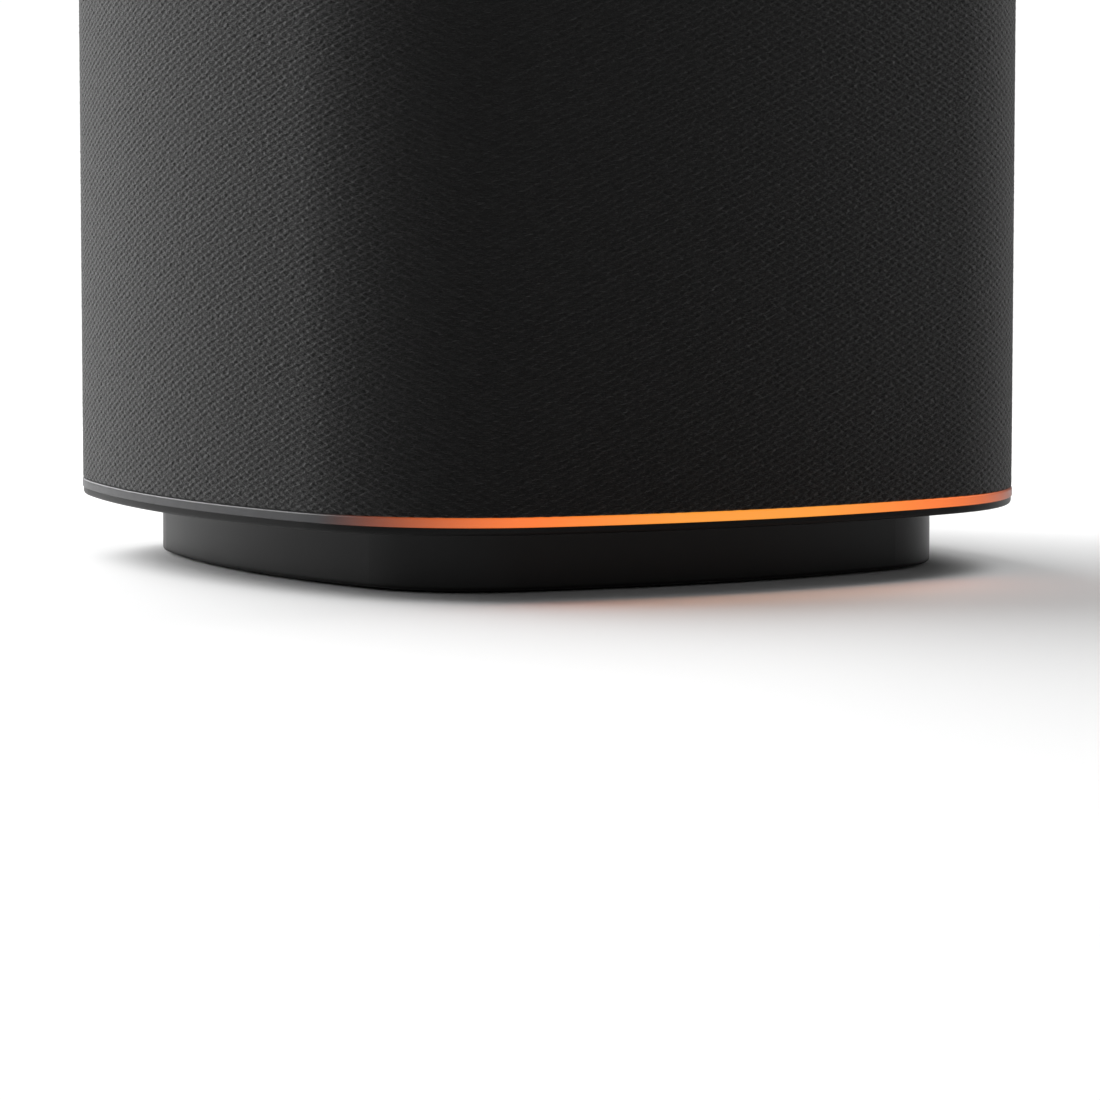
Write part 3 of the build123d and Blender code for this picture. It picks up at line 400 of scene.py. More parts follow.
def sweep_ring(
    name: str,
    plan: BodyPlan,
    profile: Profile,
    columns: int,
    cell: tuple[float, float],
    lift: Callable[[float, float], float] | None = None,
    first_run: float = 0.0,
) -> bpy.types.Object:
    """Sweeps a closed section round the body's plan.

    Args:
        name: name of the piece.
        plan: the body's plan.
        profile: section of the ring.
        columns: how many steps go round the plan.
        cell: width and height of one repeat, in metres, that the UV map counts in.
        lift: height of the surface pattern at a place, in repeats along and up, or None for none.
        first_run: distance along the section where the repeats are counted from.

    Returns:
        The swept piece.
    """
    runs = profile.runs()
    rows = len(profile.points)
    heights = [(run - first_run) / cell[1] for run in runs]
    widths = [(column / columns - 0.5) * plan.perimeter / cell[0] for column in range(columns + 1)]
    sections = [profile.outward(row) for row in range(rows)]
    points = []
    for column in range(columns):
        along = (column / columns - 0.5) * plan.perimeter
        base_x, base_y, face_x, face_y = plan.place(along, 0.0)
        for row, (inset, height) in enumerate(profile.points):
            out, up = sections[row]
            strength = profile.relief[row]
            rise = strength * lift(widths[column], heights[row]) if lift and strength else 0.0
            reach = out * rise - inset
            points.append((base_x + face_x * reach, base_y + face_y * reach, height + up * rise))
    faces = []
    threads = []
    for column in range(columns):
        here, beyond = column * rows, ((column + 1) % columns) * rows
        for row in range(rows):
            above = (row + 1) % rows
            faces.append((here + row, beyond + row, beyond + above, here + above))
            left, right = widths[column], widths[column + 1]
            low, high = heights[row], heights[row + 1]
            threads += [(left, low), (right, low), (right, high), (left, high)]
    return mesh_piece(name, points, faces, threads)


# ---------------------------------------------------------------------------------------------------------
# Finishes: each is one real material and the way its surface was made
# ---------------------------------------------------------------------------------------------------------


@dataclass(frozen=True)
class Finish:
    """What every surface has: its name, an sRGB colour, and optical values typical of the material."""

    name: str
    colour: str
    roughness: float
    ior: float = 1.5
    metallic: float = 0.0

    def material(self) -> bpy.types.Material:
        """Makes the Blender material, or returns the one already made.

        Returns:
            The material.
        """
        made = bpy.data.materials.get(self.name)
        if made is not None:
            return made
        made = bpy.data.materials.new(self.name)
        made.use_nodes = True
        tree = made.node_tree
        tree.nodes.clear()
        values: dict[str | int, object] = {
            "Base Color": linear(self.colour),
            "Roughness": self.roughness,
            "Metallic": self.metallic,
            "IOR": self.ior,
        }
        shader = add_node(tree, "ShaderNodeBsdfPrincipled", values)
        add_node(tree, "ShaderNodeOutputMaterial", {"Surface": shader.outputs["BSDF"]})
        self.detail(tree, shader)
        return made

    def detail(self, tree: bpy.types.NodeTree, shader: bpy.types.Node) -> None:
        """Adds the surface's own pattern; each kind of finish has its own."""
        raise NotImplementedError

    def vary_colour(
        self, tree: bpy.types.NodeTree, shader: bpy.types.Node, share: bpy.types.NodeSocket, other: str
    ) -> None:
        """Mixes the base colour with another one.

        Args:
            tree: the material's node tree.
            shader: its Principled shader.
            share: socket that says how much of the other colour shows.
            other: the other sRGB colour.
        """
        tree.links.new(mix_colours(tree, share, self.colour, other), shader.inputs["Base Color"])

    def vary_roughness(
        self, tree: bpy.types.NodeTree, shader: bpy.types.Node, share: bpy.types.NodeSocket, spread: float
    ) -> None:
        """Lets the roughness wander either side of its typical value.

        Args:
            tree: the material's node tree.
            shader: its Principled shader.
            share: socket from nought to one that drives it.
            spread: how far it goes either way.
        """
        limits = (self.roughness - spread, self.roughness + spread)
        tree.links.new(rescale(tree, share, target=limits), shader.inputs["Roughness"])

    def raise_surface(
        self, tree: bpy.types.NodeTree, shader: bpy.types.Node, height: bpy.types.NodeSocket, depth_mm: float
    ) -> None:
        """Gives the surface relief.

        Args:
            tree: the material's node tree.
            shader: its Principled shader.
            height: socket from nought to one.
            depth_mm: real depth of the relief.
        """
        values = {"Height": height, "Strength": 1.0, "Distance": depth_mm * MM}
        bump = add_node(tree, "ShaderNodeBump", values)
        tree.links.new(bump.outputs["Normal"], shader.inputs["Normal"])


@dataclass(frozen=True)
class KnitPolyester(Finish):
    """Warp-knit polyester acoustic cloth: matt, with staggered pinholes between plump stitches."""

    light_yarn: str = "#171717"
    # Painted shade: the near-black colour painted into the pinholes.
    pinhole_shade: str = "#040404"
    sheen_tint: str = "#CBCBCB"
    depth_mm: float = 0.4
    looseness: float = 0.6
    plumpness: float = 0.4
    fuzz: float = 0.9
    fibre_turn: float = -60.0

    def detail(self, tree: bpy.types.NodeTree, shader: bpy.types.Node) -> None:
        """Draws stitches, pinholes with painted shade in them and melange yarn in the UV map's repeats."""
        threads = add_node(tree, "ShaderNodeUVMap", uv_map="threads").outputs["UV"]
        # Loose knitting: each stitch sits a little off its place, up to about a quarter of a repeat.
        wander = noise_field(tree, threads, 1.7, 1.0, output="Color")
        stray = (self.looseness, self.looseness, 0.0)
        middle = (-self.looseness / 2, -self.looseness / 2, 0.0)
        shift = maths(tree, "MULTIPLY_ADD", wander, stray, middle, kind=VECTORS)
        placed = maths(tree, "ADD", threads, shift, kind=VECTORS)
        waves = maths(tree, "MULTIPLY", placed, (2 * pi, 2 * pi, 0.0), kind=VECTORS)
        swing = maths(tree, "COSINE", waves, kind=VECTORS)
        parts = add_node(tree, "ShaderNodeSeparateXYZ", {"Vector": swing}).outputs
        lattice = maths(tree, "MULTIPLY", parts["X"], parts["Y"])
        # No two stitches pull alike, so some pinholes gape and others nearly close.
        pull = noise_field(tree, threads, 1.25, 1.0)
        uneven = maths(tree, "MULTIPLY", lattice, rescale(tree, pull, (0.3, 0.7), (0.1, 1.3)))
        pinhole_shade_mask = rescale(tree, uneven, (0.2, 1.0), smooth=True)
        # Fibres are 0.02 mm, too fine to show, so they are drawn as flat dashes of about 0.9 by 0.2 mm. The
        # turn keeps the noise's own grid from lining up with the courses.
        turn = (0.0, 0.0, radians(self.fibre_turn))
        values = {"Vector": threads, "Rotation": turn, "Scale": (2.4, 6.0, 1.0)}
        lay = add_node(tree, "ShaderNodeMapping", values).outputs["Vector"]
        fibres = noise_field(tree, lay, 1.0, 2.0, roughness=0.7)
        # Melange: about a quarter of the yarn is spun lighter, in streaks about one repeat long.
        streaks = add_node(tree, "ShaderNodeMapping", {"Vector": threads, "Scale": (0.9, 1.7, 1.0)})
        yarns = noise_field(tree, streaks.outputs["Vector"], 1.0, 3.0)
        yarn = mix_colours(tree, rescale(tree, yarns, (0.42, 0.75)), self.colour, self.light_yarn)
        # The pinholes are painted near black: painted shade inside the holes, darkest where they gape.
        cloth = mix_colours(tree, pinhole_shade_mask, yarn, self.pinhole_shade)
        tree.links.new(cloth, shader.inputs["Base Color"])
        plump = maths(tree, "MULTIPLY_ADD", uneven, -self.plumpness, 0.5)
        rough = maths(tree, "MULTIPLY_ADD", fibres, self.fuzz, plump)
        self.raise_surface(tree, shader, rough, self.depth_mm)
        shader.inputs["Specular IOR Level"].default_value = 0.22
        shader.inputs["Sheen Weight"].default_value = 0.34
        shader.inputs["Sheen Roughness"].default_value = 0.45
        shader.inputs["Sheen Tint"].default_value = linear(self.sheen_tint)


@dataclass(frozen=True)
class MouldedPlastic(Finish):
    """Injection-moulded plastic: a fine spark-eroded grain, faint flow clouds and a soft uneven sheen."""

    worn: str = "#2A2A2B"
    # Real spark grain is 0.05 to 0.1 mm, too fine to show, so it is drawn coarser.
    grain_mm: float = 0.22
    depth_mm: float = 0.012
    cloud_mm: float = 14.0
    mirror: float = 0.5

    def detail(self, tree: bpy.types.NodeTree, shader: bpy.types.Node) -> None:
        """Draws grain, clouds and an uneven sheen in object space."""
        place = add_node(tree, "ShaderNodeTexCoord").outputs["Object"]
        grain = noise_field(tree, place, per(self.grain_mm), 2.0)
        clouds = noise_field(tree, place, per(self.cloud_mm), 3.0)
        self.vary_colour(tree, shader, rescale(tree, clouds, (0.35, 0.75), (0.0, 0.35)), self.worn)
        self.vary_roughness(tree, shader, clouds, 0.025)
        self.raise_surface(tree, shader, grain, self.depth_mm)
        # A half is a smooth surface; below that, the pits of the grain hide part of the reflection.
        shader.inputs["Specular IOR Level"].default_value = self.mirror


@dataclass(frozen=True)
class OpalAcrylic(Finish):
    """Smoked opal acrylic, edge lit from inside: satin grey, with an orange glow along part of it."""

    cloudy: str = "#303032"
    glow_middle: str = "#FF9E34"
    glow_outer: str = "#FF7A28"
    glow_end: str = "#E0602A"
    # The glow is full to the first distance from its middle and gone at the second one.
    full_reach_mm: float = 31.0
    end_reach_mm: float = 63.0
    lean_mm: float = -3.0
    full_glow: float = 0.97
    mottle_mm: float = 2.5

    def detail(self, tree: bpy.types.NodeTree, shader: bpy.types.Node) -> None:
        """Fades the glow along the strip, whose UV map counts in millimetres, and mottles the resin."""
        threads = add_node(tree, "ShaderNodeUVMap", uv_map="threads").outputs["UV"]
        parts = add_node(tree, "ShaderNodeSeparateXYZ", {"Vector": threads}).outputs
        distance = maths(tree, "ABSOLUTE", maths(tree, "SUBTRACT", parts["X"], self.lean_mm))
        full = self.full_reach_mm / self.end_reach_mm
        stops = [
            (0.0, linear(self.glow_middle)),
            (0.35 * full, linear(self.glow_middle)),
            (full, linear(self.glow_outer)),
            (1.0, linear(self.glow_end)),
        ]
        share = rescale(tree, distance, (0.0, self.end_reach_mm))
        hue = add_node(tree, "ShaderNodeValToRGB", {"Fac": share}, stops=stops)
        edge = (self.full_reach_mm, self.end_reach_mm)
        fade = rescale(tree, distance, edge, (self.full_glow, 0.0), smooth=True)
        tree.links.new(hue.outputs["Color"], shader.inputs["Emission Color"])
        tree.links.new(fade, shader.inputs["Emission Strength"])
        place = add_node(tree, "ShaderNodeTexCoord").outputs["Object"]
        mottle = noise_field(tree, place, per(self.mottle_mm), 3.0)
        self.vary_colour(tree, shader, mottle, self.cloudy)
        self.vary_roughness(tree, shader, mottle, 0.05)
        self.raise_surface(tree, shader, mottle, 0.004)


@dataclass(frozen=True)
class MouldedRubber(Finish):
    """Compression-moulded rubber: dead matt with a dusty bloom in patches."""

    bloom: str = "#3B3A38"
    patch_mm: float = 5.0
    skin_mm: float = 0.4

    def detail(self, tree: bpy.types.NodeTree, shader: bpy.types.Node) -> None:
        """Draws bloom and a leathery skin in object space."""
        place = add_node(tree, "ShaderNodeTexCoord").outputs["Object"]
        patches = noise_field(tree, place, per(self.patch_mm), 4.0)
        skin = add_node(tree, "ShaderNodeTexVoronoi", {"Vector": place, "Scale": per(self.skin_mm)})
        self.vary_colour(tree, shader, rescale(tree, patches, (0.5, 0.8), (0.0, 0.5)), self.bloom)
        self.vary_roughness(tree, shader, patches, 0.06)
        self.raise_surface(tree, shader, skin.outputs["Distance"], 0.02)


class MetalWorking(Enum):
    """How a metal surface was last worked, as the stretch of its grain along X, Y and Z."""

    ROLLED = (0.06, 1.0, 1.0)
    DRAWN = (1.0, 0.05, 1.0)
    BLASTED = (1.0, 1.0, 1.0)


@dataclass(frozen=True)
class WorkedMetal(Finish):
    """Plated, anodised or bare metal: fine grain of its working, with cloudy plating or oxide over it."""

    cloud: str = "#8A8D92"
    working: MetalWorking = MetalWorking.ROLLED
    # Real grinding lines are about 0.05 mm; they are drawn 0.15 mm apart so that they show.
    grain_mm: float = 0.15
    cloud_mm: float = 6.0

    def detail(self, tree: bpy.types.NodeTree, shader: bpy.types.Node) -> None:
        """Draws the grain and the clouds in object space."""
        place = add_node(tree, "ShaderNodeTexCoord").outputs["Object"]
        lay = add_node(tree, "ShaderNodeMapping", {"Vector": place, "Scale": self.working.value})
        grain = noise_field(tree, lay.outputs["Vector"], per(self.grain_mm), 3.0)
        clouds = noise_field(tree, place, per(self.cloud_mm), 4.0)
        self.vary_colour(tree, shader, clouds, self.cloud)
        self.vary_roughness(tree, shader, grain, 0.1)
        self.raise_surface(tree, shader, grain, 0.006)


@dataclass(frozen=True)
class CircuitLaminate(Finish):
    """Glass-epoxy board under solder mask: glossy green with copper tracks showing as a lighter relief."""

    track: str = "#1E7A45"
    pad: str = "#B9A36A"
    track_mm: float = 0.2
    track_length_mm: float = 5.08
    track_pitch_mm: float = 1.27
    pad_pitch_mm: float = 2.54
    # Radius of a pad, as a share of their pitch.
    pad_share: float = 0.22

    def detail(self, tree: bpy.types.NodeTree, shader: bpy.types.Node) -> None:
        """Draws a net of tracks, and tinned pads scattered over it."""
        place = add_node(tree, "ShaderNodeTexCoord").outputs["Object"]
        values = {
            "Vector": place,
            "Color1": (0.0, 0.0, 0.0, 1.0),
            "Color2": (0.25, 0.25, 0.25, 1.0),
            "Mortar": (1.0, 1.0, 1.0, 1.0),
            "Scale": 1.0,
            "Mortar Size": self.track_mm * MM,
            "Brick Width": self.track_length_mm * MM,
            "Row Height": self.track_pitch_mm * MM,
        }
        tracks = add_node(tree, "ShaderNodeTexBrick", values).outputs["Color"]
        values = {"Vector": place, "Scale": per(self.pad_pitch_mm), "Randomness": 0.35}
        pads = add_node(tree, "ShaderNodeTexVoronoi", values).outputs["Distance"]
        tinned = maths(tree, "LESS_THAN", pads, self.pad_share)
        mask = mix_colours(tree, tracks, self.colour, self.track)
        tree.links.new(mix_colours(tree, tinned, mask, self.pad), shader.inputs["Base Color"])
        self.vary_roughness(tree, shader, tinned, 0.06)
        self.raise_surface(tree, shader, tracks, 0.035)


@dataclass(frozen=True)
class MouldedEpoxy(Finish):
    """Transfer-moulded epoxy or sintered ceramic: matt, with pale filler specks."""

    speck: str = "#55555A"
    speck_mm: float = 0.35

    def detail(self, tree: bpy.types.NodeTree, shader: bpy.types.Node) -> None:
        """Draws filler specks and a slightly pitted skin."""
        place = add_node(tree, "ShaderNodeTexCoord").outputs["Object"]
        values = {"Vector": place, "Scale": per(self.speck_mm)}
        filler = add_node(tree, "ShaderNodeTexVoronoi", values).outputs["Distance"]
        self.vary_colour(tree, shader, rescale(tree, filler, (0.28, 0.1), (0.0, 0.7)), self.speck)
        self.vary_roughness(tree, shader, filler, 0.07)
        self.raise_surface(tree, shader, filler, 0.01)


@dataclass(frozen=True)
class WovenCloth(Finish):
    """Plain-woven cotton, silk or pressed pulp: threads that cross at right angles, sealed with resin."""

    other: str = "#8A6A30"
    thread_mm: float = 0.6
    soak_mm: float = 4.0

    def detail(self, tree: bpy.types.NodeTree, shader: bpy.types.Node) -> None:
        """Draws threads along X and Z, across the axis that the speakers face."""
        place = add_node(tree, "ShaderNodeTexCoord").outputs["Object"]
        waves = maths(tree, "MULTIPLY", place, (2 * pi * per(self.thread_mm),) * 3, kind=VECTORS)
        swing = maths(tree, "COSINE", waves, kind=VECTORS)
        parts = add_node(tree, "ShaderNodeSeparateXYZ", {"Vector": swing}).outputs
        crossing = maths(tree, "MULTIPLY", parts["X"], parts["Z"])
        soak = noise_field(tree, place, per(self.soak_mm), 4.0)
        self.vary_colour(tree, shader, soak, self.other)
        self.vary_roughness(tree, shader, soak, 0.08)
        self.raise_surface(tree, shader, maths(tree, "MULTIPLY_ADD", crossing, 0.5, 0.5), 0.08)


@dataclass(frozen=True)
class WoundWire(Finish):
    """Enamelled copper wire in close turns: a warm metal under clear lacquer, ribbed at the wire's pitch."""

    shade: str = "#7A3A18"
    pitch_mm: float = 0.35

    def detail(self, tree: bpy.types.NodeTree, shader: bpy.types.Node) -> None:
        """Draws the turns as bands along the coil's axis."""
        place = add_node(tree, "ShaderNodeTexCoord").outputs["Object"]
        # A wave texture repeats every 2 pi / 20 of its scaled length.
        values = {"Vector": place, "Scale": per(self.pitch_mm) * 2 * pi / 20}
        turns = add_node(tree, "ShaderNodeTexWave", values, bands_direction="Y").outputs["Fac"]
        self.vary_colour(tree, shader, turns, self.shade)
        self.vary_roughness(tree, shader, turns, 0.05)
        self.raise_surface(tree, shader, turns, 0.1)
        shader.inputs["Coat Weight"].default_value = 0.6


@dataclass(frozen=True)
class PrintedInk(Finish):
    """Pad-printed ink: a thin flat film, very slightly uneven where the pad lifted."""

    thin: str = "#8E9094"
    cover_mm: float = 0.5

    def detail(self, tree: bpy.types.NodeTree, shader: bpy.types.Node) -> None:
        """Draws the film's uneven cover."""
        place = add_node(tree, "ShaderNodeTexCoord").outputs["Object"]
        cover = noise_field(tree, place, per(self.cover_mm), 2.0)
        self.vary_colour(tree, shader, cover, self.thin)
        self.vary_roughness(tree, shader, cover, 0.06)
        self.raise_surface(tree, shader, cover, 0.005)


FINISHES: dict[str, Finish] = {
    "knit_fabric": KnitPolyester("knit_polyester", "#090909", roughness=0.75, ior=1.46),
    "black_abs": MouldedPlastic("moulded_abs_black", "#070707", roughness=0.42, worn="#0A0A0B", mirror=0.15),
    "opal_light_guide": OpalAcrylic("smoked_opal_acrylic", "#3A3A3C", roughness=0.42, ior=1.49),
    "board_green": CircuitLaminate("solder_masked_laminate", "#0B4A26", roughness=0.3, ior=1.55),
    "emitter": MouldedEpoxy("phosphor_epoxy", "#E8C86A", roughness=0.35, ior=1.5, speck="#FFE9A8"),
    "plinth_plastic": MouldedPlastic(
        "moulded_abs_satin_black", "#050505", roughness=0.42, worn="#080808", mirror=0.27
    ),
    "foot_rubber": MouldedRubber("moulded_silicone", "#131313", roughness=0.78, ior=1.43, bloom="#1F1F1E"),
    "screw_steel": WorkedMetal("zinc_plated_screw_steel", "#8F9296", roughness=0.35, metallic=1.0),
    "zinc_steel": WorkedMetal(
        "zinc_plated_pole_steel", "#C2C4C8", roughness=0.38, metallic=1.0, cloud="#A9ACB2"
    ),
    "inlet_steel": WorkedMetal(
        "deep_drawn_stainless",
        "#C8C8C8",
        roughness=0.28,
        metallic=1.0,
        cloud="#B0B0B2",
        working=MetalWorking.DRAWN,
    ),
    "lead_insulation": MouldedRubber("extruded_pvc", "#202020", roughness=0.5, ior=1.53, bloom="#2E2E2E"),
    "tin_plate": WorkedMetal("pressed_tin_plate", "#CDCDC8", roughness=0.3, metallic=1.0, cloud="#B8B8B4"),
    "heat_sink_aluminium": WorkedMetal(
        "extruded_anodised_aluminium", "#BCBEC2", roughness=0.42, metallic=1.0, cloud="#A4A7AC"
    ),
    "chip_epoxy": MouldedEpoxy("moulded_chip_epoxy", "#1B1B1D", roughness=0.6, ior=1.55),
    "capacitor_can": WorkedMetal(
        "impact_extruded_can",
        "#CFCFD2",
        roughness=0.3,
        metallic=1.0,
        cloud="#B5B6BA",
        working=MetalWorking.DRAWN,
    ),
    "box_abs": MouldedPlastic("moulded_abs_charcoal", "#2B2B2D", roughness=0.5, ior=1.53, worn="#3A3A3C"),
    "basket_steel": MouldedPlastic(
        "enamelled_pressed_steel", "#1C1C1D", roughness=0.3, ior=1.52, worn="#29292A", grain_mm=0.6
    ),
    "ferrite": MouldedEpoxy(
        "sintered_ferrite", "#38383B", roughness=0.62, ior=2.2, speck="#5E5E63", speck_mm=0.6
    ),
    "cone_paper": WovenCloth(
        "pressed_paper_pulp", "#222222", roughness=0.85, other="#303030", thread_mm=0.8
    ),
    "copper_coil": WoundWire("enamelled_copper", "#C8703A", roughness=0.25, metallic=1.0),
    "roll_rubber": MouldedRubber("moulded_butyl", "#151515", roughness=0.6, ior=1.52, bloom="#242423"),
    "spider_cloth": WovenCloth("resin_dipped_cotton", "#B89A56", roughness=0.75),
    "dome_silk": WovenCloth("coated_silk", "#262628", roughness=0.55, other="#323236", thread_mm=0.3),
    "radiator_aluminium": WorkedMetal(
        "black_anodised_aluminium",
        "#46474B",
        roughness=0.45,
        metallic=1.0,
        cloud="#3A3B3F",
        working=MetalWorking.BLASTED,
    ),
    "panel_plastic": MouldedPlastic(
        "spark_eroded_polycarbonate", "#171718", roughness=0.55, ior=1.58, worn="#1F1F21"
    ),
    "button_plastic": MouldedPlastic(
        "soft_touch_polycarbonate", "#1E1E20", roughness=0.68, ior=1.5, worn="#262628"
    ),
    "plunger_plastic": MouldedPlastic("natural_nylon", "#CDC6B4", roughness=0.45, ior=1.53, worn="#DAD4C4"),
    "flex_polyimide": MouldedPlastic("polyimide_film", "#AE6A1C", roughness=0.25, ior=1.7, worn="#C27C26"),
}
KEY_INK = PrintedInk("pad_printed_ink", "#B4B6BA", roughness=0.5)


# ---------------------------------------------------------------------------------------------------------
# Sub-assemblies of the hub
# ---------------------------------------------------------------------------------------------------------


@dataclass
class SubAssembly:
    """A group of pieces that would come off the bench together."""

    title: str
    slots: tuple[str, ...]
    made: list[bpy.types.Object] = field(default_factory=list)

    def keep(self, piece: bpy.types.Object, body: str, slot: str, *stands_for: str) -> None:
        """Takes in a new piece: it rides on a body, wears a slot's finish and may stand for CAD nodes.

        Args:
            piece: the new piece.
            body: CAD body that carries it.
            slot: material slot of the record.
            stands_for: CAD nodes that it replaces.
        """
        piece.data.materials.append(FINISHES[slot].material())
        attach(piece, body)
        if stands_for:
            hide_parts(*stands_for)
        self.made.append(piece)

    def build(self) -> None:
        """Builds the sub-assembly's own meshes; the plain one has none beyond its CAD nodes."""

    def dress(self) -> None:
        """Gives every CAD node in the sub-assembly's material slots its finish."""
        for part in frame["record"]["subparts"]:
            if part["material_slot"] not in self.slots:
                continue
            node = frame["nodes"][part["node"]]
            node.data.materials.clear()
            node.data.materials.append(FINISHES[part["material_slot"]].material())
            self.made.append(node)

    def report(self) -> None:
        """Logs each piece and its material."""
        for piece in self.made:
            log.info("%s: %s in %s", self.title, piece.name, piece.data.materials[0].name)


@dataclass
class KnitSleeve(SubAssembly):
    """The cloth round the body: a tube of knit, hemmed at its foot and tucked in round the top panel."""

    plan: BodyPlan = field(default_factory=BodyPlan)
    stitches_round: int = 184
    columns_per_stitch: int = 4
    rows_per_course: int = 2
    thickness: float = 1.1 * MM
    inset: float = 0.1 * MM
    hem_gap: float = 0.03 * MM
    hem_radius: float = 0.25 * MM
    shoulder: float = 9.0 * MM
    shoulder_turn: float = 88.7
    tuck_inset: float = 9.3 * MM
    tuck_radius: float = 0.4 * MM
    relief: float = 0.035 * MM
    inner_rise: float = 1.0 * MM
    unevenness: float = 0.7
    drift: float = 0.35

    def profile(self) -> tuple[Profile, float, float]:
        """Draws the cloth's section, outer face first.

        Returns:
            The section, the distance along it where the upright face starts, and one course's height.
        """
        low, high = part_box("fabric_sleeve")
        foot = low.z + self.hem_gap + self.hem_radius
        shoulder_z = high.z - self.shoulder
        rows = round((shoulder_z - foot) * self.rows_per_course / MM)
        course = self.rows_per_course * (shoulder_z - foot) / rows
        centre = (self.inset + self.shoulder, shoulder_z)
        inner = self.shoulder - self.thickness
        tuck_centre = (self.tuck_inset - self.tuck_radius, high.z - self.tuck_radius)
        section = Profile()
        section.line(self.inset + self.thickness, foot - self.hem_radius)
        section.arc((self.inset + self.hem_radius, foot), self.hem_radius, (-90, 0), pieces=5, relief=0.5)
        start = section.runs()[-2]
        section.line(self.inset, shoulder_z, pieces=rows, relief=1.0)
        section.arc(centre, self.shoulder, (0, self.shoulder_turn), pieces=28, relief=1.0)
        section.arc(tuck_centre, self.tuck_radius, (90, 180), pieces=4)
        section.line(self.tuck_inset, high.z - self.thickness)
        section.arc(centre, inner, (self.shoulder_turn, 0), pieces=10)
        section.line(self.inset + self.thickness, foot + self.inner_rise, pieces=12)
        return section, start, course

    def stitch_height(self, along: float, up: float) -> float:
        """Height of the knit's own relief.

        Args:
            along: stitches along the cloth.
            up: courses up the cloth.

        Returns:
            Metres out of the cloth's middle surface, deepest at the pinholes.
        """
        loose = 1 + self.unevenness * noise.noise((along * 1.3, up * 1.3, 3.0))
        drift = self.drift * noise.noise((along * 1.1, up * 1.1, 9.0))
        return -self.relief * loose * cos(2 * pi * (along + drift)) * cos(2 * pi * (up + drift))

    def build(self) -> None:
        """Sweeps the cloth round the plan and lets it stand for the plain CAD sleeve."""
        section, start, course = self.profile()
        stitch = self.plan.perimeter / self.stitches_round
        sleeve = sweep_ring(
            "knit_sleeve",
            self.plan,
            section,
            self.stitches_round * self.columns_per_stitch,
            (stitch, course),
            self.stitch_height,
            start,
        )
        self.keep(sleeve, "case", "knit_fabric", "fabric_sleeve")


@dataclass
class LightRing(SubAssembly):
    """The glowing strip and the emitters behind it."""

    plan: BodyPlan = field(default_factory=BodyPlan)
    columns: int = 404
    edge: float = 0.2 * MM
    rim_outer: float = 3.6 * MM
    rim_inner: float = 5.6 * MM
    rim_height: float = 1.0 * MM

    def build(self) -> None:
        """Sweeps the acrylic guide's section round the plan."""
        low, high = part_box("light_guide")
        top = high.z - self.rim_height
        section = Profile()
        section.line(self.rim_inner, low.z)
        section.line(self.edge, low.z, pieces=3)
        section.arc((self.edge, low.z + self.edge), self.edge, (-90, 0), pieces=5)
        section.line(0.0, top - self.edge, pieces=4)
        section.arc((self.edge, top - self.edge), self.edge, (0, 90), pieces=5)
        section.line(self.rim_outer, top, pieces=3)
        section.line(self.rim_outer, high.z)
        section.line(self.rim_inner, high.z)
        section.line(self.rim_inner, top)
        guide = sweep_ring("light_strip", self.plan, section, self.columns, (MM, MM))
        self.keep(guide, "case", "opal_light_guide", "light_guide")


class Mark(Enum):
    """Generic marks printed on the four keys."""

    PLUS = "volume_up"
    MINUS = "volume_down"
    RING = "action"
    MICROPHONE = "mute"


